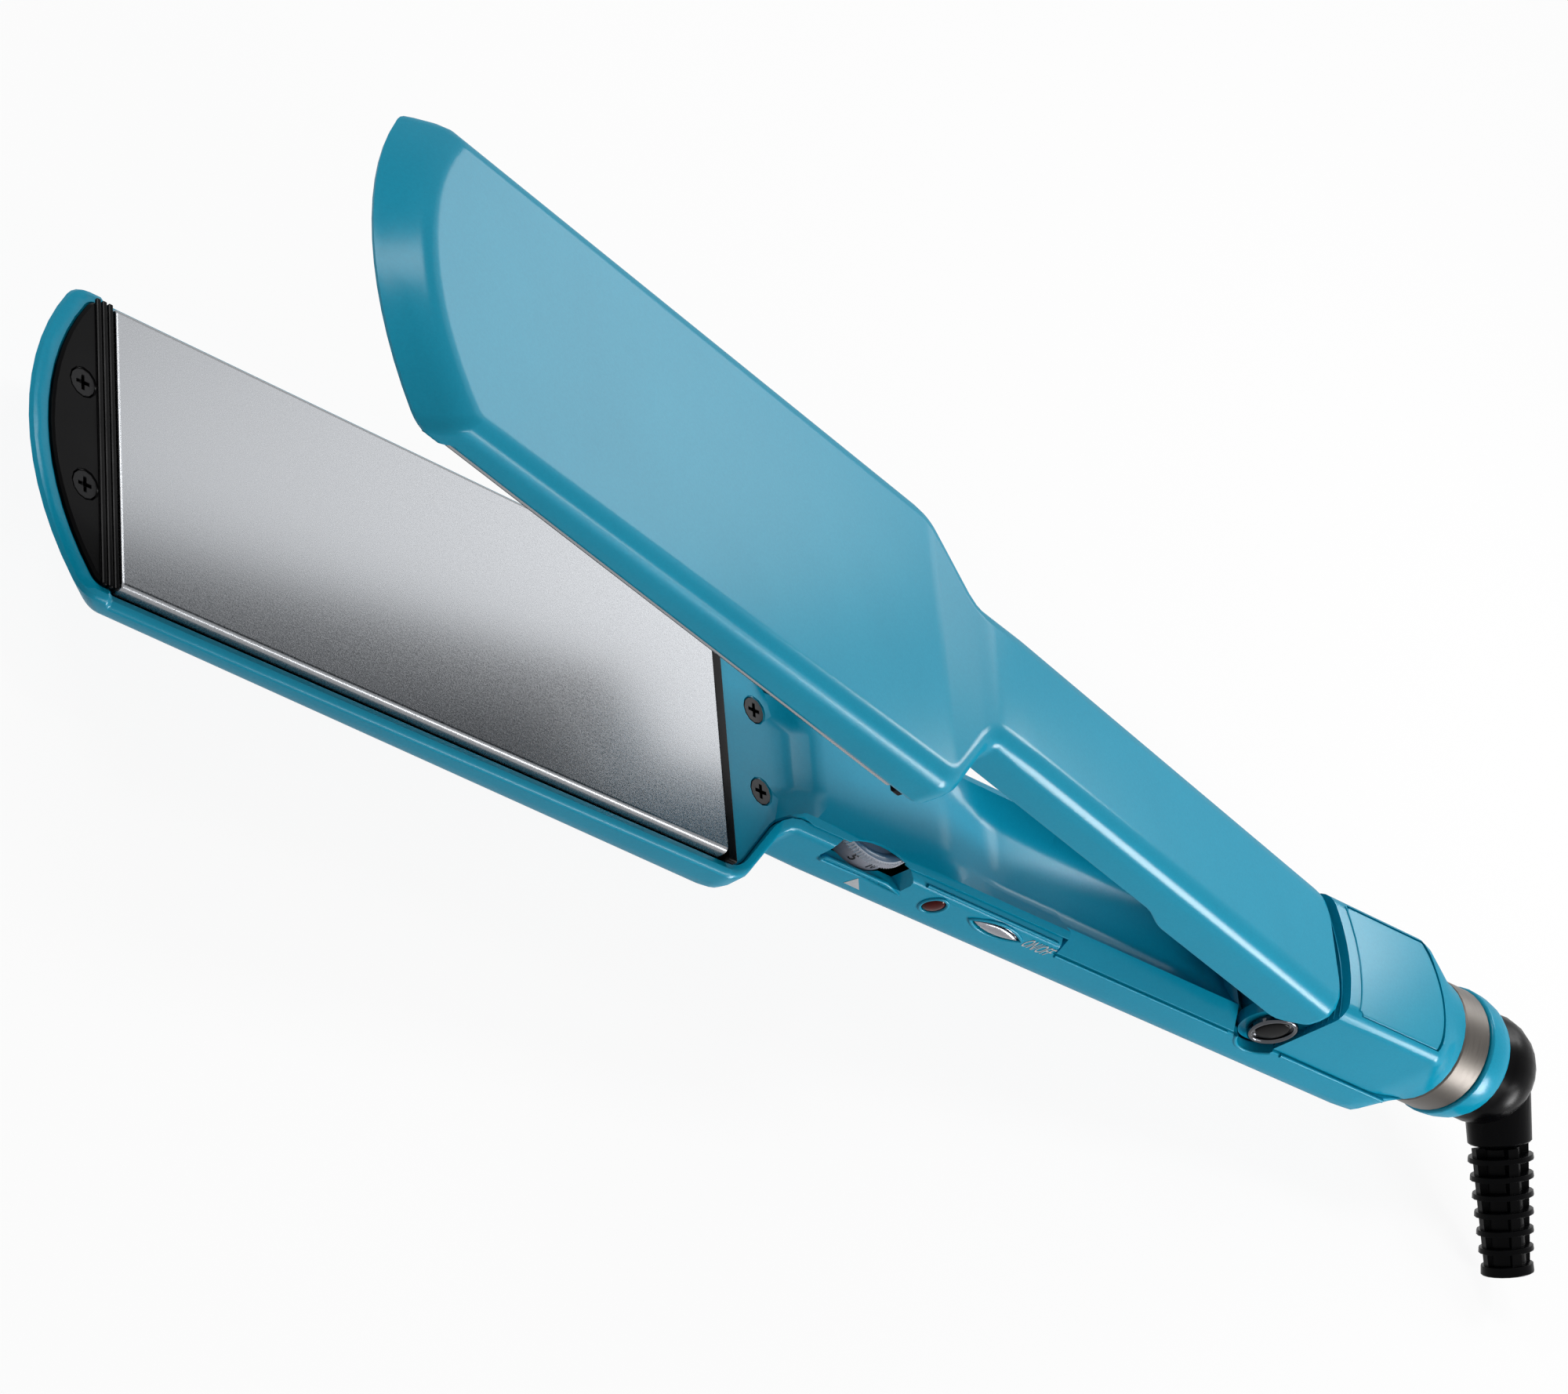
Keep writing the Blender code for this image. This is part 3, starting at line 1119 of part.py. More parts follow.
def make_cord_collar(parent):
    """Model the bright trim ring and the collar whose spigot carries it."""
    inner, outer, bevel = SPIGOT_RADIUS + CLEARANCE, RING_RADIUS, 0.35
    profile = [(RING_FRONT_X, inner), (RING_FRONT_X, outer - bevel),
               (RING_FRONT_X + bevel, outer), (RING_REAR_X - bevel, outer),
               (RING_REAR_X, outer - bevel), (RING_REAR_X, inner), (RING_FRONT_X, inner)]
    bm = turned_mesh(profile, (0, 0, CORD_AXIS_Z), (1, 0, 0), 40)
    make_object("trim_ring", bm, "nickel", parent)
    crown = RING_RADIUS + COLLAR_CROWN
    throat = ELBOW_THROAT_RADIUS + CLEARANCE
    seat = COLLAR_FRONT_X + 1.7
    profile = [(COLLAR_FRONT_X, SPIGOT_RADIUS), (COLLAR_FRONT_X, crown - 0.4)]
    for k in range(5):
        share = k / 4
        bulge = math.sqrt(1 - (0.93 * share) ** 2)
        radius = blend(COLLAR_MOUTH_RADIUS, crown, (bulge - 0.37) / 0.63)
        profile.append((COLLAR_FRONT_X + 0.4 + share * (COLLAR_LENGTH - 0.4), radius))
    profile += [(COLLAR_REAR_X, throat), (seat, throat), (seat, STEM_RADIUS + CLEARANCE),
                (FLANGE_FRONT_X, STEM_RADIUS + CLEARANCE), (FLANGE_FRONT_X, FLANGE_RADIUS),
                (FLANGE_REAR_X, FLANGE_RADIUS), (FLANGE_REAR_X, SPIGOT_RADIUS),
                (COLLAR_FRONT_X, SPIGOT_RADIUS)]
    bm = turned_mesh(profile, (0, 0, CORD_AXIS_Z), (1, 0, 0), 36)
    make_object("end_collar", bm, "teal_plastic", parent)


def make_elbow(parent):
    """Model the swivelling elbow with its ringed stem, bored for the cord.

    The parent lies on the swivel axis, so heights here are measured from it.
    """
    seat = COLLAR_FRONT_X + 1.7 + CLEARANCE
    groove_rear = FLANGE_FRONT_X - CLEARANCE
    groove_front = groove_rear - RETAINER_THICKNESS
    groove = STEM_RADIUS - GROOVE_DEPTH
    profile = [(STEM_FRONT_X, 0), (STEM_FRONT_X, STEM_RADIUS),
               (groove_front - 0.1, STEM_RADIUS), (groove_front - 0.1, groove),
               (groove_rear + 0.1, groove), (groove_rear + 0.1, STEM_RADIUS),
               (seat, STEM_RADIUS), (seat, ELBOW_THROAT_RADIUS)]
    first = math.degrees(math.asin(ELBOW_THROAT_RADIUS / ELBOW_RADIUS))
    for a, b in arc_points((ELBOW_X, 0), ELBOW_RADIUS, 180 - first, 0, 9)[:-1]:
        profile.append((a, b))
    profile.append((ELBOW_X + ELBOW_RADIUS, 0))
    bm = turned_mesh(profile, (0, 0, 0), (1, 0, 0), 26)
    elbow = make_object("swivel_elbow", bm, "black_plastic", parent)
    lean = math.radians(BOOT_LEAN)
    along = Vector((math.sin(lean), -math.cos(lean), 0))
    root = (BOOT_ROOT_X, 0, 0)
    neck = [(1.0, ELBOW_NECK_ROOT), (ELBOW_NECK_LENGTH - 0.3, ELBOW_NECK_RADIUS),
            (ELBOW_NECK_LENGTH, ELBOW_NECK_RADIUS - 0.3)]
    bm = turned_mesh(neck, root, along, 26)
    fuse(elbow, make_object("elbow_neck", bm, "black_plastic", parent))
    bm = turned_mesh([(STEM_FRONT_X - 2, STEM_BORE), (BOOT_ROOT_X + STEM_BORE, STEM_BORE)],
                     (0, 0, 0), (1, 0, 0), 12)
    cut(elbow, make_object("stem_bore", bm, "black_plastic", parent))
    bm = turned_mesh([(-1.0, CORD_BORE), (ELBOW_NECK_LENGTH + 2, CORD_BORE)], root, along, 13)
    cut(elbow, make_object("neck_bore", bm, "black_plastic", parent))
    make_boot(parent, root, along)
    ring = [(groove_front, groove + 0.2), (groove_front, RETAINER_RADIUS),
            (groove_rear, RETAINER_RADIUS), (groove_rear, groove + 0.2),
            (groove_front, groove + 0.2)]
    bm = turned_mesh(ring, (0, 0, 0), (1, 0, 0), 16)
    retainer = make_object("swivel_retainer", bm, "spring_steel", parent)
    mouth = box_mesh(groove_front - 1, groove_rear + 1, -2.0, 2.0, 0, 12)
    cut(retainer, make_object("retainer_mouth", mouth, "spring_steel", parent))
    for number in range(2):
        x0 = STEM_FRONT_X + 0.6 + number * CONTACT_PITCH
        profile = tube_profile(x0, x0 + CONTACT_WIDTH, CONTACT_RADIUS, STEM_RADIUS + 0.15)
        bm = turned_mesh(profile, (0, 0, 0), (1, 0, 0), 18)
        name = ("contact_ring_inner", "contact_ring_outer")[number]
        make_object(name, bm, "spring_steel", parent)


def make_boot(parent, root, along):
    """Model the strain relief: rings joined by bars round a bored sleeve."""
    start = ELBOW_NECK_LENGTH + CLEARANCE
    profile = [(start, CORD_BORE + CLEARANCE), (start, BOOT_CORE_RADIUS + 0.6),
               (start + BOOT_SLEEVE_END, BOOT_CORE_RADIUS)]
    for k in range(BOOT_RIBS):
        low = start + BOOT_FIRST_SLOT + k * BOOT_PITCH
        radius = blend(BOOT_RIB_FRONT, BOOT_RIB_REAR, k / (BOOT_RIBS - 1))
        last = k == BOOT_RIBS - 1
        high = low + (BOOT_END_WIDTH if last else BOOT_RIB_WIDTH)
        profile += [(low, BOOT_CORE_RADIUS), (low + 0.2, radius - 0.1), (high - 0.2, radius)]
        if not last:
            profile.append((high, BOOT_CORE_RADIUS))
    end = start + BOOT_FIRST_SLOT + (BOOT_RIBS - 1) * BOOT_PITCH + BOOT_END_WIDTH
    profile += [(end, BOOT_RIB_REAR - 0.3), (end, CORD_BORE + CLEARANCE), profile[0]]
    boot = make_object("cord_boot", turned_mesh(profile, root, along, 20), "black_rubber",
                       parent, root)
    turn = Vector((0, 0, 1)).rotation_difference(along).to_matrix().to_4x4()
    place = Matrix.Translation(Vector(root)) @ turn
    up = turn.inverted() @ Vector((0, 0, 1))
    first = math.atan2(up.y, up.x) + math.radians(BOOT_BAR_TURN)
    wide = BOOT_BAR_WIDTH / 2
    for number in range(BOOT_BARS):
        spin = Matrix.Rotation(first + math.tau * number / BOOT_BARS, 4, "Z")
        bar = bmesh.new()
        corners = []
        for along_boot, radius in ((start + 0.3, BOOT_RIB_FRONT), (end - 0.8, BOOT_RIB_REAR)):
            outer = radius - BOOT_BAR_SETBACK
            for y in (-wide, wide):
                corners.append([bar.verts.new((r, y, along_boot))
                                for r in (BOOT_CORE_RADIUS - 0.5, outer)])
        (a, b), (c, d), (e, f), (g, h) = corners
        for face in ((a, c, g, e), (b, f, h, d), (a, b, d, c), (e, g, h, f), (a, e, f, b),
                     (c, d, h, g)):
            bar.faces.new(face)
        bmesh.ops.transform(bar, matrix=place @ spin, verts=bar.verts)
        fuse(boot, make_object(f"boot_bar_{number}", bar, "black_rubber", parent))


def make_contacts(parent):
    """Model the block whose two fingers reach the swivel's contact rings."""
    ceiling = HUB_TOP - PANEL_DROP - PANEL_THICKNESS - CLEARANCE - 1.0
    top = ceiling - CLEARANCE
    x0 = STEM_FRONT_X - 3.0
    x1 = STEM_FRONT_X + 0.6 + CONTACT_PITCH + CONTACT_WIDTH + 0.5
    ring_top = CORD_AXIS_Z + CONTACT_RADIUS
    bm = box_mesh(x0, x1, -5.0, 5.0, top - 2.2, top)
    block = make_object("contact_block", bm, "black_plastic", parent)
    for number in range(2):
        low = STEM_FRONT_X + 0.6 + number * CONTACT_PITCH + 0.3
        bm = box_mesh(low, low + CONTACT_WIDTH - 0.6, -1.5, 1.5, ring_top + CLEARANCE, top - 1.0)
        fuse(block, make_object(f"contact_finger_{number}", bm, "black_plastic", parent))
    for name, sign in (("mains_lead_live", -1), ("mains_lead_neutral", 1)):
        start = Vector((x0 - CLEARANCE, sign * 3.0, top - 1.2))
        height = board_top() + CLEARANCE + LEAD_RADIUS
        end = Vector((BOARD_REAR_X - 4.0, sign * LEAD_Y, height))
        points = lead_route(start, end, sign)
        make_wire(name, points, LEAD_RADIUS, "lead_sleeve", parent)


def lead_route(start, end, sign):
    """Return a lead's path from the contact block down and along to the board.

    It drops ahead of the swivel stem, then lies beside the shell's axis.
    """
    low = end.z
    controls = [start, start - Vector((5, 0, 0)), Vector((14.0, sign * 3.6, 0.5)),
                Vector((11.5, sign * LEAD_Y, low)), Vector((2.0, sign * LEAD_Y, low)),
                Vector((-30.0, sign * LEAD_Y, low)), end]
    points = []
    for i in range(len(controls) - 1):
        before = controls[max(i - 1, 0)]
        after = controls[min(i + 2, len(controls) - 1)]
        a, b = controls[i], controls[i + 1]
        span = (b - a).length
        tangent_a = (b - before).normalized() * min(span, 10.0)
        tangent_b = (after - a).normalized() * min(span, 10.0)
        steps = max(2, round(span / 3.5))
        for k in range(steps):
            t = k / steps
            h00 = 2 * t ** 3 - 3 * t ** 2 + 1
            h10 = t ** 3 - 2 * t ** 2 + t
            h01 = 3 * t ** 2 - 2 * t ** 3
            h11 = t ** 3 - t ** 2
            points.append(a * h00 + tangent_a * h10 + b * h01 + tangent_b * h11)
    return points + [end]


# --- controls ---------------------------------------------------------------------------
def board_top():
    """Return the height of the control board's upper face."""
    return WALL + CLEARANCE - HANDLE_DEPTH + BOARD_THICKNESS


def make_controls(parent):
    """Model the board, dial, potentiometer, button, switch and indicator."""
    top = board_top()
    half = BOARD_WIDTH / 2
    bm = box_mesh(BOARD_FRONT_X, BOARD_REAR_X, -half, half, top - BOARD_THICKNESS, top)
    make_object("control_board", bm, "circuit_board", parent)
    drum_bottom = DIAL_TOP - DIAL_KNURL - DIAL_DRUM_HEIGHT
    boss_end = drum_bottom - DIAL_BOSS_LENGTH
    outline = []
    for k in range(DIAL_RIBS):
        for share, radius in ((0.0, DIAL_RADIUS), (0.5, DIAL_RADIUS - 0.3)):
            angle = math.tau * (k + share) / DIAL_RIBS
            outline.append((radius * math.cos(angle), radius * math.sin(angle)))
    bm = prism_mesh(outline, DIAL_TOP - DIAL_KNURL, DIAL_TOP)
    bmesh.ops.translate(bm, verts=bm.verts, vec=(DIAL_X, DIAL_Y, 0))
    dial = make_object("temperature_dial", bm, "dial_grey", parent, (DIAL_X, DIAL_Y, 0))
    drum_radius = DIAL_RADIUS - DIAL_DRUM_STEP
    profile = [(boss_end, DIAL_BOSS_RADIUS), (drum_bottom, DIAL_BOSS_RADIUS),
               (drum_bottom, drum_radius), (DIAL_TOP - DIAL_KNURL + 0.3, drum_radius)]
    bm = turned_mesh(profile, (DIAL_X, DIAL_Y, 0), (0, 0, 1), 40)
    fuse(dial, make_object("dial_drum", bm, "dial_grey", parent))
    size = POT_SIZE / 2
    bm = box_mesh(DIAL_X - size, DIAL_X + size, DIAL_Y - size, DIAL_Y + size,
                  top + CLEARANCE, drum_bottom - CLEARANCE)
    pot = make_object("potentiometer", bm, "black_plastic", parent)
    socket = DIAL_BOSS_RADIUS + CLEARANCE
    bm = turned_mesh([(boss_end - CLEARANCE, socket), (0, socket)], (DIAL_X, DIAL_Y, 0),
                     (0, 0, 1), 20)
    cut(pot, make_object("pot_socket", bm, "black_plastic", parent))
    make_button(parent, top)
    make_indicator(parent, top)


def button_flange_size():
    """Return the half length and half height of the button's flange."""
    return (BUTTON_LENGTH / 2 + BUTTON_FLANGE_RIM, BUTTON_HEIGHT / 2 + BUTTON_FLANGE_RIM)


def make_button(parent, board):
    """Model the lens-shaped power button and the switch that its stem enters."""
    wall_inside = -HANDLE_HALF_WIDTH + WALL
    front = -HANDLE_HALF_WIDTH - 0.2
    outline = [(BUTTON_X + a, b - BUTTON_DEPTH)
               for a, b in lens_outline(BUTTON_LENGTH, BUTTON_HEIGHT)]
    flange_front = wall_inside + CLEARANCE + 0.1
    flange_rear = flange_front + BUTTON_FLANGE
    bm = prism_mesh(outline, front + 0.4, flange_front + 0.3, "Y")
    button = make_object("power_button", bm, "silver_button", parent,
                         (BUTTON_X, front, -BUTTON_DEPTH))
    small = [(BUTTON_X + a, b - BUTTON_DEPTH)
             for a, b in lens_outline(BUTTON_LENGTH * 0.9, BUTTON_HEIGHT * 0.68)]
    bm = prism_mesh(small, front, front + 0.6, "Y")
    fuse(button, make_object("button_crown", bm, "silver_button", parent))
    half, rise = button_flange_size()
    bm = box_mesh(BUTTON_X - half, BUTTON_X + half, flange_front, flange_rear,
                  -BUTTON_DEPTH - rise, -BUTTON_DEPTH + rise)
    fuse(button, make_object("button_flange", bm, "silver_button", parent))
    stem = BUTTON_STEM / 2
    switch_front = flange_rear + BUTTON_TRAVEL + CLEARANCE
    stem_end = switch_front + 1.0
    bm = box_mesh(BUTTON_X - stem, BUTTON_X + stem, flange_front + 0.2, stem_end,
                  -BUTTON_STEM_DEPTH - stem, -BUTTON_STEM_DEPTH + stem)
    fuse(button, make_object("button_stem", bm, "silver_button", parent))
    size = SWITCH_SIZE / 2
    bm = box_mesh(BUTTON_X - size, BUTTON_X + size, switch_front, switch_front + SWITCH_SIZE,
                  board + CLEARANCE, -BUTTON_STEM_DEPTH + stem + CLEARANCE + 0.4)
    switch = make_object("power_switch", bm, "black_plastic", parent)
    room = stem + CLEARANCE
    bm = box_mesh(BUTTON_X - room, BUTTON_X + room, switch_front - 1.0,
                  stem_end + BUTTON_TRAVEL + CLEARANCE, -BUTTON_STEM_DEPTH - room,
                  -BUTTON_STEM_DEPTH + room)
    cut(switch, make_object("switch_socket", bm, "black_plastic", parent))


def make_indicator(parent, board):
    """Model the red lens in the side wall and the lamp behind it."""
    wall_inside = -HANDLE_HALF_WIDTH + WALL
    front = -HANDLE_HALF_WIDTH
    flange = wall_inside + CLEARANCE
    profile = [(front - 0.5, 0), (front - 0.4, LED_RADIUS * 0.5), (front - 0.1, LED_RADIUS * 0.85),
               (front + 0.3, LED_RADIUS), (flange, LED_RADIUS), (flange, LED_RADIUS + 0.8),
               (flange + 0.8, LED_RADIUS + 0.8), (flange + 0.8, 0)]
    bm = turned_mesh(profile, (LED_X, 0, -LED_DEPTH), (0, 1, 0), 18)
    make_object("indicator_lens", bm, "led_red", parent)
    back = flange + 0.8 + CLEARANCE
    bm = box_mesh(LED_X - 1.5, LED_X + 1.5, back, back + 2.6, board + CLEARANCE, 1.5 - LED_DEPTH)
    make_object("indicator_lamp", bm, "ceramic", parent)


# --- assembly ---------------------------------------------------------------------------
def clear_scene():
    """Remove whatever the scene already holds."""
    for item in list(bpy.data.objects):
        bpy.data.objects.remove(item, do_unlink=True)


def make_empty(name, location, turn, parent):
    """Return a plain axes empty that carries a group of pieces."""
    empty = bpy.data.objects.new(name, None)
    bpy.context.collection.objects.link(empty)
    empty.location = Vector(location) * MM
    empty.rotation_euler = [math.radians(angle) for angle in turn]
    empty.parent = parent
    return empty


def build():
    """Build the whole iron with its upper arm open."""
    clear_scene()
    lower = make_empty("lower_frame", (0, 0, HANDLE_DEPTH), (0, 0, 0), None)
    upper = make_empty("upper_frame", (0, 0, 0), (0, OPEN_ANGLE, 0), lower)
    swivel = make_empty("swivel_frame", (0, 0, CORD_AXIS_Z), (SWIVEL_ANGLE, 0, 0), lower)
    make_lower_shell(lower)
    make_lower_cover(lower)
    make_arm_fittings("lower", LOWER, lower)
    make_hub(lower)
    make_hinge(lower)
    make_cord_collar(lower)
    make_elbow(swivel)
    make_contacts(lower)
    make_controls(lower)
    shell = make_shell("upper_shell", UPPER, upper, body_depth, upper_rim, upper_rear)
    add_bosses(shell, "upper", UPPER, upper, body_depth)
    make_upper_cover(upper)
    make_arm_fittings("upper", UPPER, upper)


build()
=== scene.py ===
"""Wide-plate hair straightening iron: finishes, printed marks, light and camera.

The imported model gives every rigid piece.  The classes here dress those pieces,
rebuild the ones that need a finer surface, and set up a plain studio.
"""

from __future__ import annotations

import logging
import math
from dataclasses import dataclass, field
from enum import Enum

import bmesh
import bpy
from mathutils import Matrix, Vector

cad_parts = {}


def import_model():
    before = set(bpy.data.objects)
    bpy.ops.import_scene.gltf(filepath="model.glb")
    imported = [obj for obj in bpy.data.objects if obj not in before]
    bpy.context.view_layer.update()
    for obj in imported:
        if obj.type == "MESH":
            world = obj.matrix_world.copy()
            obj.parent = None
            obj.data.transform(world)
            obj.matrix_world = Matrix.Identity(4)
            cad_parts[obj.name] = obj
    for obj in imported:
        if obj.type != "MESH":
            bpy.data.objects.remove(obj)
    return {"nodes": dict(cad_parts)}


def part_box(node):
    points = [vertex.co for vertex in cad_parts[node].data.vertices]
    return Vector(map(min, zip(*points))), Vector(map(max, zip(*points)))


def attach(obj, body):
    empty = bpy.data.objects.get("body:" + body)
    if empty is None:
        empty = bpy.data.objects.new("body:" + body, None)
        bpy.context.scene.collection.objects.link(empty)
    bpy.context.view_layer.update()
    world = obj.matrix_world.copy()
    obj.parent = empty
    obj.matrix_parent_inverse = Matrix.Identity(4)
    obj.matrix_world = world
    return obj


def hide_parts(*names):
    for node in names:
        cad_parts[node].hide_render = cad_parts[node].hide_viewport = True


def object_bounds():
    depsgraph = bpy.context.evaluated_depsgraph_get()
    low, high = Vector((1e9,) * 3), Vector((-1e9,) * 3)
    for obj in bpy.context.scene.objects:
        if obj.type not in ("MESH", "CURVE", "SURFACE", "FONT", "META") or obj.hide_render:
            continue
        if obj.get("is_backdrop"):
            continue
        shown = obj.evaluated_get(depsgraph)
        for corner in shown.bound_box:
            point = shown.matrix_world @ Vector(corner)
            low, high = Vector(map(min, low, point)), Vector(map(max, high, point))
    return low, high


Piece = bpy.types.Object
Material = bpy.types.Material
Tree = bpy.types.NodeTree
Socket = bpy.types.NodeSocket
Point = tuple[float, float, float]

LOG = logging.getLogger("straightening_iron")
MM = 0.001
HINGE_HEIGHT = 13.6            # mm, plate plane and hinge axis above the underside
INK_HEIGHT = 0.03              # mm, a pad print's thickness, drawn thick enough to show
MERGE_GAP = 0.02               # mm, packed points closer than this become one
FLAT_ANGLE = 0.6               # degrees, faces closer to flat than this are joined
BEVEL_ANGLE = 30.0             # degrees, sharper edges are rounded
BEVEL_SEGMENTS = 2             # faces across a rounding
CREASE_ANGLE = 50.0            # degrees, sharper edges stay sharp in the shading
NORMAL_WEIGHT = 60             # how strongly wide faces lead the shading
CAPITAL_SHARE = 0.73           # a capital's height as a share of the font's size
BEAD_SIDES = 10                # sides of a moulded bead
FINE_BEAD_SIDES = 6            # sides of the finest beads


class Arm(Enum):
    """The two arms; the value is the sign of the depth direction."""

    LOWER = -1
    UPPER = 1

    @property
    def body(self) -> str:
        """Return the name of the moving body that this arm is."""
        return f"{self.name.lower()}_arm"


# --- small helpers -----------------------------------------------------------------
def linear(code: str) -> tuple[float, float, float, float]:
    """Turn an sRGB hex colour into linear RGBA.

    Args:
        code: Six hex digits with a leading #.

    Returns:
        The linear red, green and blue, and an alpha of 1.
    """
    parts = [int(code[i:i + 2], 16) / 255 for i in (1, 3, 5)]
    low, high = 12.92, 1.055
    made = [p / low if p <= 0.04045 else ((p + 0.055) / high) ** 2.4 for p in parts]
    return (*made, 1.0)


def per_mm(size: float) -> float:
    """Return the texture scale of a pattern.

    Args:
        size: The pattern's size in mm.

    Returns:
        The scale, in cells a metre.
    """
    return 1.0 / (size * MM)


def add_node(tree: Tree, kind: str, inputs: dict | None = None,
             **settings: object) -> bpy.types.Node:
    """Add one node with its settings, values and links.

    Args:
        tree: The shader or geometry tree.
        kind: The node's Blender type name.
        inputs: Socket name or index to a value or to an output to link.
        **settings: Attributes of the node, such as its operation.

    Returns:
        The new node.
    """
    made = tree.nodes.new(kind)
    for name, value in settings.items():
        setattr(made, name, value)
    for socket, value in (inputs or {}).items():
        if isinstance(value, Socket):
            tree.links.new(value, made.inputs[socket])
        else:
            made.inputs[socket].default_value = value
    return made


def blank_material(name: str) -> tuple[Material, Tree]:
    """Return a material with an empty node tree, and the tree.

    Args:
        name: The finish's name.

    Returns:
        The material and its tree.
    """
    made = bpy.data.materials.new(name)
    made.use_nodes = True
    made.node_tree.nodes.clear()
    return made, made.node_tree


def mesh_object(name: str, mesh: bpy.types.Mesh) -> Piece:
    """Link a mesh to the scene as an object at the origin.

    Args:
        name: The piece's name.
        mesh: Its mesh, in metres in the row frame.

    Returns:
        The new object.
    """
    made = bpy.data.objects.new(name, mesh)
    bpy.context.scene.collection.objects.link(made)
    return made


def baked(source: Piece, name: str) -> Piece:
    """Turn an object's evaluated shape into a plain mesh and remove the source.

    Args:
        source: The object with live modifiers.
        name: The name of the result.

    Returns:
        The plain mesh object.
    """
    bpy.context.view_layer.update()
    graph = bpy.context.evaluated_depsgraph_get()
    mesh = bpy.data.meshes.new_from_object(source.evaluated_get(graph))
    mesh.name = name
    bpy.data.objects.remove(source)
    return mesh_object(name, mesh)


def smooth(piece: Piece, angle: float) -> None:
    """Shade a piece smooth, sharp where faces meet at more than an angle.

    Args:
        piece: The mesh object.
        angle: The limit in degrees.
    """
    piece.data.shade_smooth()
    piece.data.set_sharp_from_angle(angle=math.radians(angle))


def settle(piece: Piece, body: str, slot: str, *nodes: str) -> None:
    """Put a finished piece on its body, hide the nodes that it stands for, and log it.

    Args:
        piece: The finished object.
        body: The body that it rides on.
        slot: Not used.
        *nodes: The nodes that it stands for.
    """
    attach(piece, body)
    if nodes:
        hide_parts(*nodes)
    LOG.info("%s rides on %s with %d faces", piece.name, body, len(piece.data.polygons))


def refined(node: Piece, name: str, edge: float) -> Piece:
    """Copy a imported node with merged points, softened edges and smooth shading.

    Args:
        node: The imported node.
        name: The name of the copy.
        edge: The width in mm of the rounding on its edges.

    Returns:
        The new object, not yet on a body.
    """
    bm = bmesh.new()
    bm.from_mesh(node.data)
    bmesh.ops.remove_doubles(bm, verts=bm.verts, dist=MERGE_GAP * MM)
    bmesh.ops.dissolve_limit(bm, angle_limit=math.radians(FLAT_ANGLE), verts=bm.verts,
                             edges=bm.edges)
    mesh = bpy.data.meshes.new(name)
    bm.to_mesh(mesh)
    bm.free()
    copy = mesh_object(f"{name}_draft", mesh)
    bevel = copy.modifiers.new("edge", "BEVEL")
    bevel.width = edge * MM
    bevel.segments = BEVEL_SEGMENTS
    bevel.limit_method = "ANGLE"
    bevel.angle_limit = math.radians(BEVEL_ANGLE)
    weighted = copy.modifiers.new("normals", "WEIGHTED_NORMAL")
    weighted.keep_sharp = True
    weighted.weight = NORMAL_WEIGHT
    smooth(copy, CREASE_ANGLE)
    return baked(copy, name)


# --- geometry node trees -------------------------------------------------------------
def named_tree(name: str, sizes: dict[str, str]) -> tuple[Tree, bpy.types.Node]:
    """Start a geometry tree with named inputs.

    Args:
        name: The tree's name.
        sizes: Input name to socket type, after the geometry itself.

    Returns:
        The tree and its group input node.
    """
    tree = bpy.data.node_groups.new(name, "GeometryNodeTree")
    tree.is_modifier = True
    kinds = {"Geometry": "NodeSocketGeometry", **sizes, "Finish": "NodeSocketMaterial"}
    for label, kind in kinds.items():
        tree.interface.new_socket(label, in_out="INPUT", socket_type=kind)
    tree.interface.new_socket("Geometry", in_out="OUTPUT", socket_type="NodeSocketGeometry")
    return tree, add_node(tree, "NodeGroupInput")


def finish_tree(tree: Tree, entry: bpy.types.Node, shape: Socket) -> None:
    """End a geometry tree with real geometry in one finish.

    Args:
        tree: The geometry tree.
        entry: Its group input node.
        shape: The geometry made so far.
    """
    real = add_node(tree, "GeometryNodeRealizeInstances", {"Geometry": shape})
    dressed = add_node(tree, "GeometryNodeSetMaterial",
                       {"Geometry": real.outputs[0], "Material": entry.outputs["Finish"]})
    add_node(tree, "NodeGroupOutput", {0: dressed.outputs[0]})


def moulded_bead_tree() -> Tree:
    """Return the tree that sweeps a round bead along a chain of edges."""
    tree, entry = named_tree("moulded_bead", {"Radius": "NodeSocketFloat",
                                              "Sides": "NodeSocketInt"})
    path = add_node(tree, "GeometryNodeMeshToCurve", {"Mesh": entry.outputs["Geometry"]})
    ring = add_node(tree, "GeometryNodeCurvePrimitiveCircle",
                    {"Resolution": entry.outputs["Sides"], "Radius": entry.outputs["Radius"]})
    bead = add_node(tree, "GeometryNodeCurveToMesh",
                    {"Curve": path.outputs[0], "Profile Curve": ring.outputs[0],
                     "Fill Caps": True})
    soft = add_node(tree, "GeometryNodeSetShadeSmooth", {"Geometry": bead.outputs[0]})
    finish_tree(tree, entry, soft.outputs[0])
    return tree


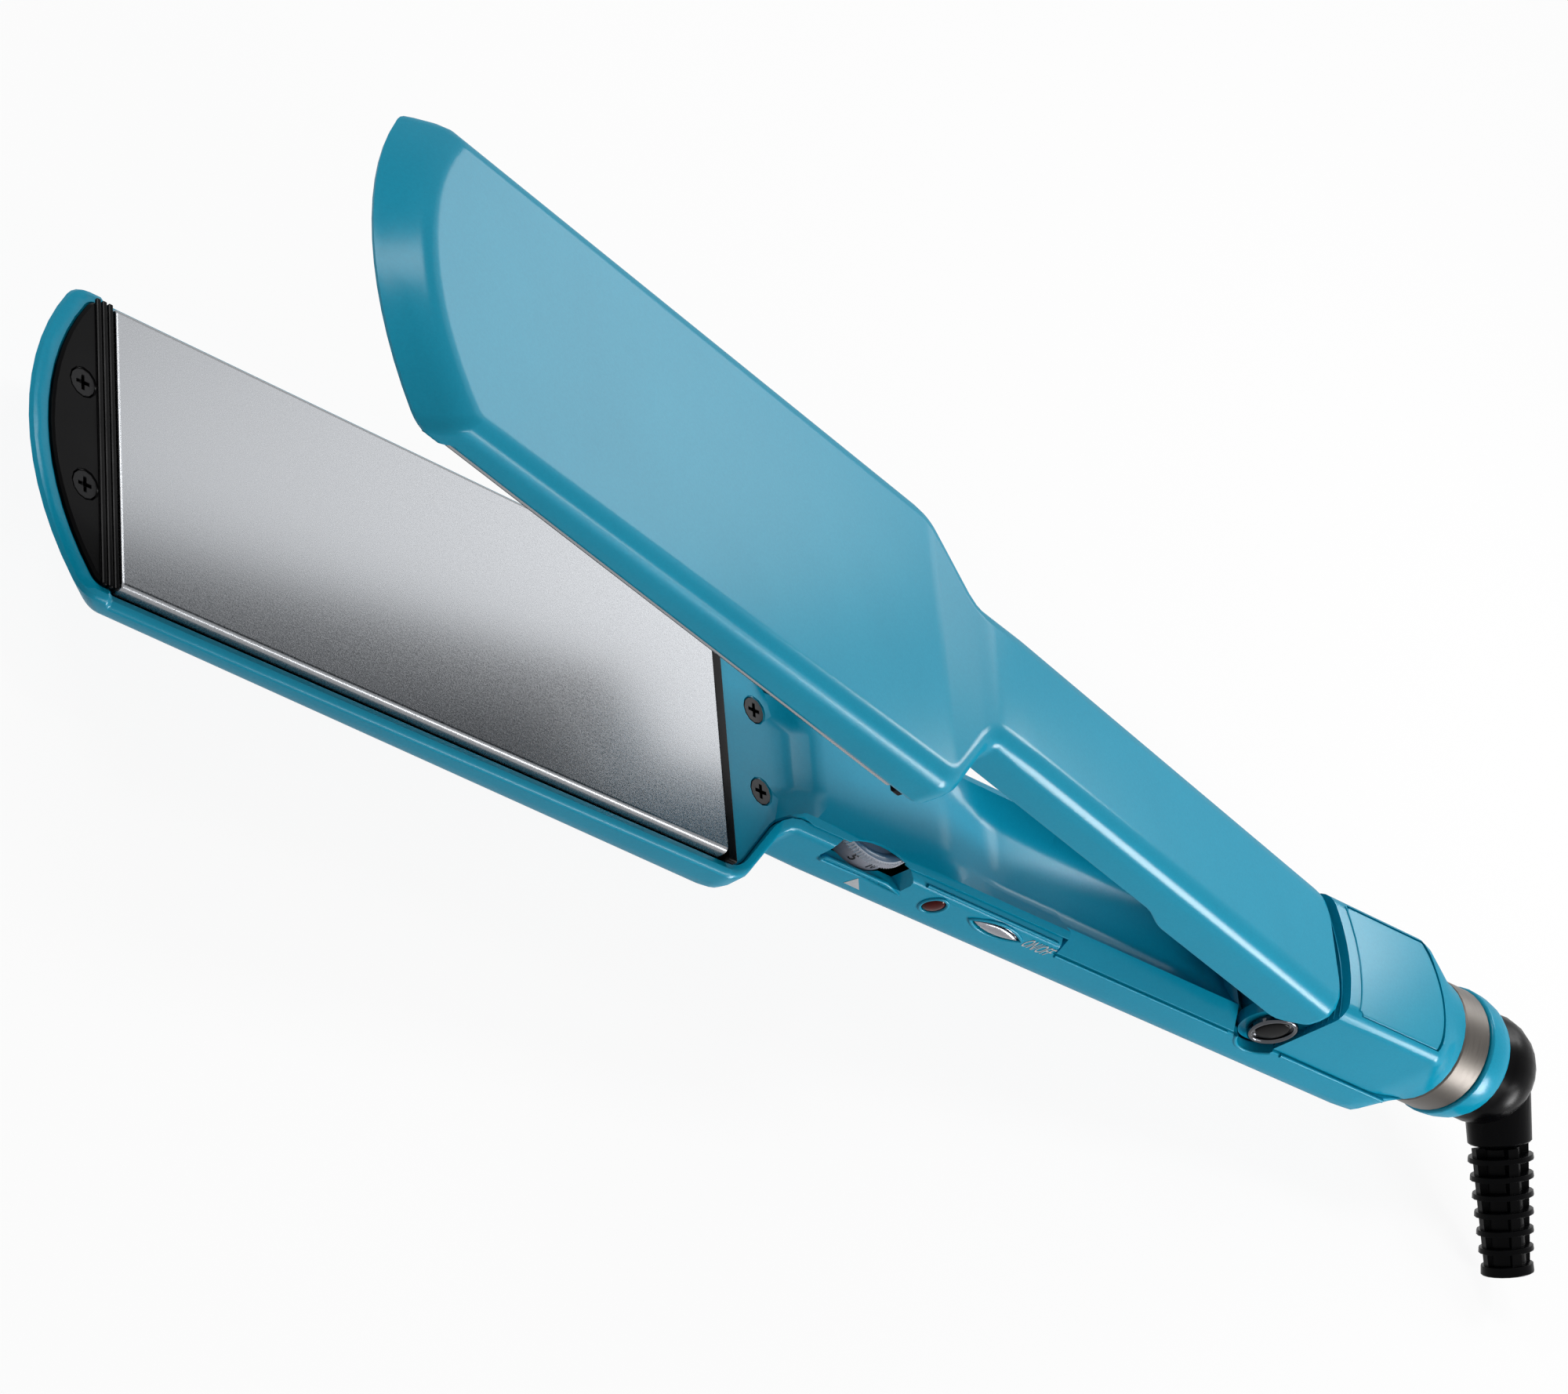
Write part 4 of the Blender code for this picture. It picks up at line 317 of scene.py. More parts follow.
def stepped_copies_tree() -> Tree:
    """Return the tree that repeats a piece by a constant step and turn."""
    tree, entry = named_tree("stepped_copies",
                             {"Count": "NodeSocketInt", "Step": "NodeSocketVector",
                              "Turn": "NodeSocketFloat", "Centre": "NodeSocketVector"})
    places = add_node(tree, "GeometryNodeMeshLine",
                      {"Count": entry.outputs["Count"], "Offset": entry.outputs["Step"]})
    index = add_node(tree, "GeometryNodeInputIndex")
    angle = add_node(tree, "ShaderNodeMath",
                     {0: index.outputs[0], 1: entry.outputs["Turn"]}, operation="MULTIPLY")
    about = add_node(tree, "ShaderNodeCombineXYZ", {"Z": angle.outputs[0]})
    copies = add_node(tree, "GeometryNodeInstanceOnPoints",
                      {"Points": places.outputs[0], "Instance": entry.outputs["Geometry"],
                       "Rotation": about.outputs[0]})
    placed = add_node(tree, "GeometryNodeTransform",
                      {"Geometry": copies.outputs[0], "Translation": entry.outputs["Centre"]})
    finish_tree(tree, entry, placed.outputs[0])
    return tree


def grown(source: Piece, name: str, tree: Tree, **sizes: object) -> Piece:
    """Run a geometry tree on an object and keep the result as a plain mesh.

    Args:
        source: The object that the tree starts from; it is used up.
        name: The result's name.
        tree: The geometry tree.
        **sizes: Input name to value.

    Returns:
        The plain mesh object.
    """
    modifier = source.modifiers.new(tree.name, "NODES")
    modifier.node_group = tree
    for item in tree.interface.items_tree:
        if item.in_out == "INPUT" and item.name in sizes:
            modifier[item.identifier] = sizes[item.name]
    return baked(source, name)


# --- shapes ----------------------------------------------------------------------------
def from_bmesh(bm: bmesh.types.BMesh, name: str) -> Piece:
    """Turn a bmesh in millimetres into an object in metres.

    Args:
        bm: The bmesh; it is freed.
        name: The object's name.

    Returns:
        The object, at the origin.
    """
    bmesh.ops.scale(bm, verts=bm.verts, vec=(MM, MM, MM))
    mesh = bpy.data.meshes.new(name)
    bm.to_mesh(mesh)
    bm.free()
    return mesh_object(name, mesh)


def raised(name: str, corners: list[Point], rise: Point) -> Piece:
    """Draw a flat outline out into a closed solid.

    Args:
        name: The piece's name.
        corners: The outline in mm.
        rise: How far and which way it is drawn out, in mm.

    Returns:
        The solid.
    """
    bm = bmesh.new()
    face = bm.faces.new([bm.verts.new(corner) for corner in corners])
    made = bmesh.ops.extrude_face_region(bm, geom=[face])["geom"]
    bmesh.ops.translate(bm, verts=[v for v in made if isinstance(v, bmesh.types.BMVert)],
                        vec=rise)
    bmesh.ops.recalc_face_normals(bm, faces=bm.faces)
    return from_bmesh(bm, name)


def dome_steps(steps: int = 8) -> list[tuple[float, float]]:
    """Return even steps through a quarter turn.

    Args:
        steps: How many steps there are.

    Returns:
        The cosine and sine of each.
    """
    angles = [math.pi / 2 * k / steps for k in range(steps + 1)]
    return [(math.cos(angle), math.sin(angle)) for angle in angles]


def edge_path(points: list[Point], closed: bool) -> Piece:
    """Return a chain of edges through points in millimetres.

    Args:
        points: The corners of the path.
        closed: Whether the last point joins the first.

    Returns:
        An object that holds only the edges.
    """
    bm = bmesh.new()
    corners = [bm.verts.new(point) for point in points]
    for first, second in zip(corners, corners[1:]):
        bm.edges.new((first, second))
    if closed:
        bm.edges.new((corners[-1], corners[0]))
    return from_bmesh(bm, "bead_path")


def turned(name: str, profile: list[tuple[float, float]], centre: Point,
           axis: Point, sides: int = 72,
           sharp: float = 38.0) -> Piece:
    """Turn a profile of radius and height about an axis.

    Args:
        name: The piece's name.
        profile: Pairs of radius and distance along the axis, in mm.
        centre: Where the distances start, in mm.
        axis: The direction of the axis.
        sides: How many steps the turn has.
        sharp: Edges sharper than this many degrees stay sharp.

    Returns:
        The closed piece.
    """
    bm = bmesh.new()
    chain = [bm.verts.new((radius, 0.0, height)) for radius, height in profile]
    edges = [bm.edges.new(pair) for pair in zip(chain, chain[1:])]
    bmesh.ops.spin(bm, geom=chain + edges, angle=math.tau, steps=sides, use_merge=True,
                   axis=(0.0, 0.0, 1.0), cent=(0.0, 0.0, 0.0))
    bmesh.ops.remove_doubles(bm, verts=bm.verts, dist=0.0005)
    bmesh.ops.recalc_face_normals(bm, faces=bm.faces)
    turn = Vector((0.0, 0.0, 1.0)).rotation_difference(Vector(axis)).to_matrix().to_4x4()
    bmesh.ops.transform(bm, matrix=Matrix.Translation(centre) @ turn, verts=bm.verts)
    piece = from_bmesh(bm, name)
    smooth(piece, sharp)
    return piece


def lettering(text: str, height: float, slant: float, weight: float,
              narrow: float = 1.0) -> bpy.types.Mesh:
    """Return words as a thin raised mesh in the XY plane, in millimetres.

    Args:
        text: The words.
        height: The height of a capital letter in mm.
        slant: The lean of the letters.
        weight: The growth of each stroke, negative for a light face.
        narrow: The width of the letters as a share of the normal width.

    Returns:
        A mesh centred on its own origin.
    """
    curve = bpy.data.curves.new("lettering", "FONT")
    curve.body = text
    curve.size = height / CAPITAL_SHARE
    curve.shear = slant
    curve.offset = weight * height
    curve.extrude = INK_HEIGHT
    curve.resolution_u = 6
    curve.align_x = "CENTER"
    curve.align_y = "CENTER"
    source = bpy.data.objects.new("lettering", curve)
    bpy.context.scene.collection.objects.link(source)
    flat = baked(source, "lettering_mesh")
    mesh = flat.data
    bpy.data.objects.remove(flat)
    mesh.transform(Matrix.Scale(narrow, 4, (1.0, 0.0, 0.0)))
    return mesh


def printed(name: str, mesh: bpy.types.Mesh, place: Matrix) -> Piece:
    """Place a print in the row frame.

    Args:
        name: The piece's name.
        mesh: The print, in mm in its own plane.
        place: Where that plane lies, in mm.

    Returns:
        The object, at the origin.
    """
    mesh.transform(Matrix.Scale(MM, 4) @ place)
    mesh.name = name
    return mesh_object(name, mesh)


# --- finishes ----------------------------------------------------------------------
def noise(tree: Tree, place: Socket, size: float, detail: float) -> Socket:
    """Return a noise pattern of a size in mm.

    Args:
        tree: The shader tree.
        place: The coordinates.
        size: The pattern's size in mm.
        detail: How many finer layers it has.

    Returns:
        The pattern, from 0 to 1.
    """
    return add_node(tree, "ShaderNodeTexNoise",
                    {"Vector": place, "Scale": per_mm(size), "Detail": detail}).outputs["Fac"]


def ranged(tree: Tree, value: Socket,
           source: tuple[float, float], target: tuple[float, float]) -> Socket:
    """Return a value moved from one range to another.

    Args:
        tree: The shader tree.
        value: The value.
        source: The range it comes in.
        target: The range it goes to.

    Returns:
        The moved value, kept inside the target.
    """
    return add_node(tree, "ShaderNodeMapRange",
                    {"Value": value, "From Min": source[0], "From Max": source[1],
                     "To Min": target[0], "To Max": target[1]}).outputs["Result"]


def bumped(tree: Tree, height: Socket, strength: float, depth: float) -> Socket:
    """Return a normal roughened by a pattern.

    Args:
        tree: The shader tree.
        height: The pattern.
        strength: How far the pattern counts.
        depth: Its depth in mm.

    Returns:
        The normal.
    """
    return add_node(tree, "ShaderNodeBump",
                    {"Height": height, "Strength": strength,
                     "Distance": depth * MM}).outputs["Normal"]


def mixed(tree: Tree, share: float | Socket,
          first: tuple[float, ...], second: object, blend: str = "MIX") -> Socket:
    """Return a blend of two colours.

    Args:
        tree: The shader tree.
        share: The second one's share.
        first: The first colour, linear.
        second: The second colour, or a socket that gives it.
        blend: How they meet.

    Returns:
        The colour.
    """
    return add_node(tree, "ShaderNodeMix", {"Factor": share, "A": first, "B": second},
                    data_type="RGBA", blend_type=blend).outputs["Result"]


@dataclass(frozen=True)
class Finish:
    """One procedural finish, laid out in object coordinates."""

    name: str

    def surface(self, tree: Tree, place: Socket) -> dict:
        """Return the surface shader's inputs.

        Args:
            tree: The material's tree.
            place: The object coordinates.

        Returns:
            Input name to value or socket.
        """
        raise NotImplementedError

    def build(self) -> Material:
        """Return the material."""
        made, tree = blank_material(self.name)
        place = add_node(tree, "ShaderNodeTexCoord").outputs["Object"]
        shader = add_node(tree, "ShaderNodeBsdfPrincipled", self.surface(tree, place))
        add_node(tree, "ShaderNodeOutputMaterial", {"Surface": shader.outputs[0]})
        return made


@dataclass(frozen=True)
class PearlPaintedAbs(Finish):
    """Moulded ABS under a pearl basecoat and a clear lacquer.

    The eye sees a soft blue sheen with a fine glitter below sharp reflections.
    The flakes are drawn at a third of a millimetre, coarser than real ones.
    """

    name: str = "pearl_painted_abs"
    body: str = "#048CAB"
    sheen: str = "#0F9CBC"
    flake: float = 0.32
    cloud: float = 30.0
    metallic: float = 0.1
    roughness: float = 0.5
    specular: float = 0.0
    lacquer: float = 0.3
    lacquer_roughness: float = 0.2

    def surface(self, tree: Tree, place: Socket) -> dict:
        """Return the shader's inputs: flakes and clouds under the lacquer."""
        flakes = add_node(tree, "ShaderNodeTexVoronoi",
                          {"Vector": place, "Scale": per_mm(self.flake)})
        glint = add_node(tree, "ShaderNodeSeparateColor",
                         {"Color": flakes.outputs["Color"]}).outputs
        spread = add_node(tree, "ShaderNodeMath",
                          {0: glint["Red"], 1: 0.35, 2: noise(tree, place, self.cloud, 3.0)},
                          operation="MULTIPLY_ADD").outputs[0]
        share = ranged(tree, spread, (0.3, 1.1), (0.0, 0.55))
        rough = (self.roughness - 0.05, self.roughness + 0.07)
        return {"Base Color": mixed(tree, share, linear(self.body), linear(self.sheen)),
                "Metallic": self.metallic,
                "Roughness": ranged(tree, glint["Green"], (0.0, 1.0), rough),
                "Specular IOR Level": self.specular, "Coat Weight": self.lacquer,
                "Coat Roughness": self.lacquer_roughness,
                "Normal": bumped(tree, glint["Blue"], 0.06, 0.02)}


@dataclass(frozen=True)
class GrainedMetal(Finish):
    """A blasted, coated or drawn metal surface.

    The eye sees a blurred reflection with a fine grain; stretch draws the grain
    out along one axis, as brushing does.
    """

    colour: str
    roughness: float
    grain: float
    relief: float
    stretch: Point = (1.0, 1.0, 1.0)
    spread: float = 0.05

    def surface(self, tree: Tree, place: Socket) -> dict:
        """Return the shader's inputs: one grain moves colour, gloss and relief."""
        drawn = add_node(tree, "ShaderNodeMapping", {"Vector": place, "Scale": self.stretch})
        grain = noise(tree, drawn.outputs[0], self.grain, 2.0)
        rough = (self.roughness - self.spread, self.roughness + self.spread)
        shade = ranged(tree, grain, (0.25, 0.75), (0.9, 1.06))
        return {"Base Color": mixed(tree, 1.0, linear(self.colour), shade, "MULTIPLY"),
                "Metallic": 1.0, "Roughness": ranged(tree, grain, (0.3, 0.7), rough),
                "Normal": bumped(tree, grain, self.relief, 0.02)}


@dataclass(frozen=True)
class MouldedPlastic(Finish):
    """Injection-moulded plastic, rubber or ceramic with a spark-eroded grain."""

    colour: str
    roughness: float
    grain: float = 0.4
    relief: float = 0.05
    sheen: float = 0.0
    ior: float = 1.5
    wear: float = 9.0

    def surface(self, tree: Tree, place: Socket) -> dict:
        """Return the shader's inputs: a fine grain, and gloss worn in patches."""
        grain = noise(tree, place, self.grain, 3.0)
        wear = noise(tree, place, self.wear, 4.0)
        rough = (self.roughness - 0.04, self.roughness + 0.06)
        shade = ranged(tree, grain, (0.0, 1.0), (0.86, 1.14))
        return {"Base Color": mixed(tree, 1.0, linear(self.colour), shade, "MULTIPLY"),
                "Roughness": ranged(tree, wear, (0.3, 0.7), rough),
                "IOR": self.ior, "Sheen Weight": self.sheen,
                "Normal": bumped(tree, grain, self.relief, 0.05)}


@dataclass(frozen=True)
class TintedLens(Finish):
    """Clear moulded acrylic, tinted through, with a domed face."""

    name: str = "red_tinted_acrylic"
    colour: str = "#5A0C06"
    glow: str = "#2E0603"
    swirl: float = 1.6
    roughness: float = 0.1
    ior: float = 1.15

    def surface(self, tree: Tree, place: Socket) -> dict:
        """Return the shader's inputs: two reds that drift into each other."""
        swirl = noise(tree, place, self.swirl, 2.0)
        return {"Base Color": mixed(tree, swirl, linear(self.glow), linear(self.colour)),
                "Roughness": self.roughness, "IOR": self.ior}


class Finishes:
    """Every finish of the iron, built once."""

    def __init__(self) -> None:
        """Build the materials."""
        self.pearl = PearlPaintedAbs().build()
        self.plate = GrainedMetal("titanium_coated_aluminium", "#8B8D90", 0.26, 0.3, 0.25).build()
        self.black = MouldedPlastic("moulded_black_nylon", "#020203", 0.2, ior=1.12).build()
        self.cord_black = MouldedPlastic("moulded_black_pvc", "#030304", 0.28, relief=0.1,
                                         ior=1.13).build()
        self.screw = GrainedMetal("blackened_steel", "#19191A", 0.34, 0.3, 0.2).build()
        self.chrome = GrainedMetal("smoked_chrome_plate", "#4C4E52", 0.07, 2.0, 0.0,
                                   spread=0.02).build()
        self.nickel = GrainedMetal("brushed_nickel_plate", "#57534F", 0.42, 0.35, 0.3,
                                   stretch=(1.0, 0.06, 0.06)).build()
        self.steel = GrainedMetal("spring_steel_wire", "#B4B4B8", 0.3, 0.3, 0.2).build()
        self.silver = GrainedMetal("silver_metallised_plastic", "#8C8D93", 0.2, 0.5, 0.1).build()
        self.dial = MouldedPlastic("moulded_pale_grey_acetal", "#D2D4DC", 0.35).build()
        self.dial_face = MouldedPlastic("moulded_blue_grey_acetal", "#6F86A0", 0.3).build()
        self.dial_drum = MouldedPlastic("moulded_dark_grey_acetal", "#8E8E98", 0.4).build()
        self.ink = MouldedPlastic("black_pad_print", "#0A0A0C", 0.5, relief=0.0).build()
        self.pale_ink = MouldedPlastic("pale_grey_pad_print", "#B9BCBF", 0.45, relief=0.0).build()
        self.ceramic = MouldedPlastic("fired_alumina", "#DCD8CE", 0.7).build()
        self.board = MouldedPlastic("lacquered_circuit_board", "#0F5A34", 0.4, 1.0).build()
        self.sleeve = MouldedPlastic("silicone_sleeve", "#D6D2C4", 0.55, sheen=0.2).build()
        self.lens = TintedLens().build()


def dress(piece: Piece, finish: Material) -> None:
    """Give a piece one finish in place of whatever it had.

    Args:
        piece: The mesh object.
        finish: The material.
    """
    piece.data.materials.clear()
    piece.data.materials.append(finish)


# --- sub-assemblies ----------------------------------------------------------------
@dataclass(frozen=True)
class Trees:
    """The geometry trees, built once."""

    bead: Tree
    copies: Tree


@dataclass
class SubAssembly:
    """What every sub-assembly is built from."""

    nodes: dict[str, Piece]
    finishes: Finishes
    trees: Trees

    def reface(self, node: str, edge: float, finish: Material, body: str, slot: str) -> None:
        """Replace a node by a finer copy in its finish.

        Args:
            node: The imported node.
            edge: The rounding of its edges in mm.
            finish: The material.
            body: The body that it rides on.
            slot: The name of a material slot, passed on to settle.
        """
        piece = refined(self.nodes[node], f"{node}_surface", edge)
        dress(piece, finish)
        settle(piece, body, slot, node)

    def bead(self, name: str, points: list[Point], radius: float, closed: bool = False) -> None:
        """Lay a painted bead along a path on the lower arm.

        Args:
            name: The piece's name.
            points: The path in mm.
            radius: The bead's radius in mm.
            closed: Whether the path is a ring.
        """
        piece = grown(edge_path(points, closed), name, self.trees.bead, Radius=radius * MM,
                      Sides=BEAD_SIDES, Finish=self.finishes.pearl)
        settle(piece, Arm.LOWER.body, "teal_plastic")

    def bead_row(self, name: str, points: list[Point], radius: float,
                 count: int, step: Point) -> None:
        """Repeat a fine painted bead by a constant step on the lower arm.

        Args:
            name: The piece's name.
            points: The first bead's path in mm.
            radius: The bead's radius in mm.
            count: How many beads there are.
            step: The way from one to the next, in mm.
        """
        first = grown(edge_path(points, False), f"{name}_first", self.trees.bead,
                      Radius=radius * MM, Sides=FINE_BEAD_SIDES, Finish=self.finishes.pearl)
        row = grown(first, name, self.trees.copies, Count=count,
                    Step=tuple(value * MM for value in step), Finish=self.finishes.pearl)
        settle(row, Arm.LOWER.body, "teal_plastic")


@dataclass
class StyledArm(SubAssembly):
    """One arm's shell, cover, plate, carrier, cap and screws."""

    arm: Arm = Arm.LOWER
    shell_edge: float = 0.3
    plate_edge: float = 0.25
    cap_edge: float = 0.15
    screw_edge: float = 0.12

    def build(self) -> None:
        """Build and dress every piece of the arm."""
        side = self.arm.name.lower()
        rules = (("shell", self.shell_edge, self.finishes.pearl, "teal_plastic"),
                 ("inner_cover", self.shell_edge, self.finishes.pearl, "teal_plastic"),
                 ("plate", self.plate_edge, self.finishes.plate, "titanium_plate"),
                 ("plate_carrier", self.cap_edge, self.finishes.black, "black_plastic"),
                 ("tip_cap", self.cap_edge, self.finishes.black, "black_plastic"))
        for part, edge, finish, slot in rules:
            self.reface(f"{side}_{part}", edge, finish, self.arm.body, slot)
        for part, finish in (("heater", self.finishes.ceramic),
                             ("heater_clip", self.finishes.steel),
                             ("thermal_fuse", self.finishes.nickel)):
            dress(self.nodes[f"{side}_{part}"], finish)
        for place in ("tip", "cover"):
            self.add_screws(f"{side}_{place}_screw")

    def add_screws(self, name: str) -> None:
        """Repeat the left screw of a pair at the right one's place.

        Args:
            name: What the pair's two nodes are called, without their hand.
        """
        left, right = f"{name}_left", f"{name}_right"
        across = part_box(right)[0][1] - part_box(left)[0][1]
        first = refined(self.nodes[left], f"{name}_head", self.screw_edge)
        pair = grown(first, f"{name}s_surface", self.trees.copies, Count=2,
                     Step=(0.0, across, 0.0), Finish=self.finishes.screw)
        settle(pair, self.arm.body, "dark_steel", left, right)


@dataclass
class HingeCap:
    """One bright cap over an end of the hinge pin."""

    radius: float = 4.7
    thickness: float = 1.3
    bead: float = 0.55
    well_depth: float = 0.8
    face_radius: float = 3.1
    face_depth: float = 0.5
    face_crown: float = 0.32
    face_gap: float = 0.05

    def ring_profile(self, steps: int = 8) -> list[tuple[float, float]]:
        """Return the profile of the cap's body and its rounded ring.

        Args:
            steps: How many straight runs the rounding has.

        Returns:
            Pairs of radius and height.
        """
        ring = self.radius - self.bead
        round_top = [(ring + self.bead * math.cos(math.pi * k / steps),
                      self.thickness - self.bead + self.bead * math.sin(math.pi * k / steps))
                     for k in range(steps + 1)]
        floor = self.thickness - self.well_depth
        return [(0.0, 0.0), (self.radius, 0.0), *round_top, (ring - self.bead, floor),
                (0.0, floor)]

    def face_profile(self) -> list[tuple[float, float]]:
        """Return the profile of the domed black face inside the ring."""
        foot = self.thickness - self.well_depth + self.face_gap
        dome = [(self.face_radius * draw,
                 self.thickness - self.face_depth + self.face_crown * rise)
                for draw, rise in dome_steps()]
        return [(0.0, foot), (self.face_radius, foot), *dome]

    def build(self, name: str, finishes: Finishes, node: str) -> None:
        """Build the cap where its node is.

        Args:
            name: What the two pieces are called.
            finishes: The finishes.
            node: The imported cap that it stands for.
        """
        low, high = (Vector(corner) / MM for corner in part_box(node))
        outward = math.copysign(1.0, high.y + low.y)
        back = low.y if outward > 0 else high.y
        centre = ((low.x + high.x) / 2, back, (low.z + high.z) / 2)
        for part, profile, finish in (("ring", self.ring_profile(), finishes.chrome),
                                      ("face", self.face_profile(), finishes.black)):
            piece = turned(f"{name}_{part}", profile, centre, (0.0, outward, 0.0))
            dress(piece, finish)
            settle(piece, Arm.LOWER.body, "black_chrome", node)


@dataclass
class HubEnd(SubAssembly):
    """The hub behind the hinge, its panel, ring, collar, pin caps and spring."""

    cove_x: float = 8.0
    cove_radius: float = 28.0
    cove_half_width: float = 12.2
    panel_x: float = 11.25
    panel_half_width: float = 10.6
    panel_height: float = 26.7
    panel_bead: float = 0.3
    ridge_radius: float = 0.18
    ridge_low: float = 13.0
    ridge_pitch: float = 1.3
    ridge_count: int = 10

    def build(self) -> None:
        """Build and dress the hub's pieces."""
        rules = (("hub_housing", 0.3, self.finishes.pearl, "teal_plastic"),
                 ("hub_cover_panel", 0.3, self.finishes.pearl, "teal_plastic"),
                 ("end_collar", 0.25, self.finishes.pearl, "teal_plastic"),
                 ("trim_ring", 0.12, self.finishes.nickel, "nickel"))
        for node, edge, finish, slot in rules:
            self.reface(node, edge, finish, Arm.LOWER.body, slot)
        for hand in ("near", "far"):
            HingeCap().build(f"hinge_cap_{hand}", self.finishes, f"hinge_cap_{hand}")
        self.bead_row("hub_cove_ridges",
                      self.arc(self.cove_x, self.cove_half_width, self.ridge_low),
                      self.ridge_radius, self.ridge_count, (0.0, 0.0, self.ridge_pitch))
        self.bead("hub_panel_front_bead",
                  self.arc(self.panel_x, self.panel_half_width, self.panel_height),
                  self.panel_bead)
        for node, finish in (("hinge_pin", self.finishes.steel),
                             ("torsion_spring", self.finishes.steel),
                             ("contact_block", self.finishes.black),
                             ("mains_lead_live", self.finishes.sleeve),
                             ("mains_lead_neutral", self.finishes.sleeve)):
            dress(self.nodes[node], finish)

    def arc(self, front: float, half_width: float, height: float, steps: int = 16) -> list[Point]:
        """Return points along an arc that follows the hub's hollow front.

        Args:
            front: The arc's middle along X, in mm.
            half_width: How far it reaches to each side.
            height: Its height.
            steps: How many straight runs it has.

        Returns:
            The points.
        """
        made = []
        for k in range(steps + 1):
            y = half_width * (2 * k / steps - 1)
            drop = self.cove_radius - math.sqrt(self.cove_radius ** 2 - y * y)
            made.append((front - drop, y, height))
        return made


@dataclass
class TemperatureDial(SubAssembly):
    """The dial wheel: top face, knurled band and numbered drum."""

    rim: float = 12.0
    knurl_height: float = 1.6
    knurl_depth: float = 0.35
    knurl_ribs: int = 110
    drum_radius: float = 10.9
    drum_height: float = 3.3
    boss_radius: float = 2.4
    boss_length: float = 2.0
    dish_radius: float = 9.6
    dish_depth: float = 0.45
    lip_radius: float = 10.3
    core_depth: float = 0.9
    sides: int = 120
    crease: float = 24.0
    number_height: float = 1.9
    number_slant: float = 0.12
    number_weight: float = 0.012
    number_level: float = 0.47
    number_unit: int = 5
    number_step: float = 25.0
    first_number: float = -14.0
    number_count: int = 10
    centre: Point = field(init=False)

    def build(self) -> None:
        """Build the wheel and the numbers on it."""
        low, high = (Vector(corner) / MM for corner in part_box("temperature_dial"))
        self.centre = ((low.x + high.x) / 2, (low.y + high.y) / 2, high.z)
        band, floor = self.rim - self.knurl_depth, -self.knurl_height
        end = floor - self.drum_height
        core, inner = -self.core_depth, self.drum_radius - 0.5
        # The small numbers are chamfers and the overlaps between the three pieces.
        parts = (
            ("dial_top_face", self.finishes.dial_face,
             [(0.0, core), (0.0, -self.dish_depth), (self.dish_radius, -self.dish_depth),
              (self.lip_radius, -0.08), (self.drum_radius, 0.0), (band - 0.25, -0.02),
              (band - 0.25, core), (0.0, core)]),
            ("dial_band", self.finishes.dial,
             [(band - 0.3, -0.05), (band, -0.2), (band, floor + 0.2), (band - 0.4, floor),
              (inner, floor), (inner, core - 0.05), (band - 0.3, core - 0.05),
              (band - 0.3, -0.05)]),
            ("dial_drum", self.finishes.dial_drum,
             [(0.0, floor + 0.6), (self.drum_radius, floor + 0.6), (self.drum_radius, end),
              (self.boss_radius, end), (self.boss_radius, end - self.boss_length),
              (0.0, end - self.boss_length)]))
        for name, finish, profile in parts:
            piece = turned(name, profile, self.centre, (0.0, 0.0, 1.0), self.sides,
                           self.crease)
            dress(piece, finish)
            settle(piece, "dial", "dial_grey", "temperature_dial")
        self.add_knurl(band, floor)
        for k in range(self.number_count):
            self.add_number(self.number_unit * (k + 1),
                            self.first_number + self.number_step * k,
                            floor - self.drum_height * self.number_level)

    def add_knurl(self, band: float, floor: float) -> None:
        """Ring the band with fine upright ribs.

        Args:
            band: The band's radius.
            floor: The band's lower edge below the dial's top.
        """
        half = math.pi * self.rim / self.knurl_ribs * 0.52
        outline = ((band - 0.1, -half), (band + self.knurl_depth * 0.7, -half * 0.5),
                   (self.rim, 0.0), (band + self.knurl_depth * 0.7, half * 0.5),
                   (band - 0.1, half))
        rib = raised("knurl_rib", [(x, y, floor + 0.15) for x, y in outline],
                     (0.0, 0.0, -floor - 0.3))
        ribs = grown(rib, "dial_knurl", self.trees.copies, Count=self.knurl_ribs,
                     Turn=math.tau / self.knurl_ribs,
                     Centre=tuple(value * MM for value in self.centre),
                     Finish=self.finishes.dial)
        settle(ribs, "dial", "dial_grey", "temperature_dial")

    def add_number(self, value: int, bearing: float, height: float) -> None:
        """Wrap a number round the drum.

        Args:
            value: The number.
            bearing: Degrees from the front of the dial towards the cord.
            height: Its middle, measured from the dial's top.
        """
        mesh = lettering(str(value), self.number_height, self.number_slant,
                         self.number_weight)
        radius = self.drum_radius + INK_HEIGHT
        for vertex in mesh.vertices:
            angle = math.radians(bearing) + vertex.co.x / radius
            reach = radius + vertex.co.z
            vertex.co = (reach * math.sin(angle), -reach * math.cos(angle), vertex.co.y)
        place = Matrix.Translation(Vector(self.centre) + Vector((0.0, 0.0, height)))
        piece = printed(f"dial_number_{value}", mesh, place)
        dress(piece, self.finishes.ink)
        settle(piece, "dial", "dial_grey")


@dataclass(frozen=True)
class SeamBead:
    """A straight bead along a side of the handle, in mm."""

    name: str
    front: float
    rear: float
    side: float
    height: float
    radius: float


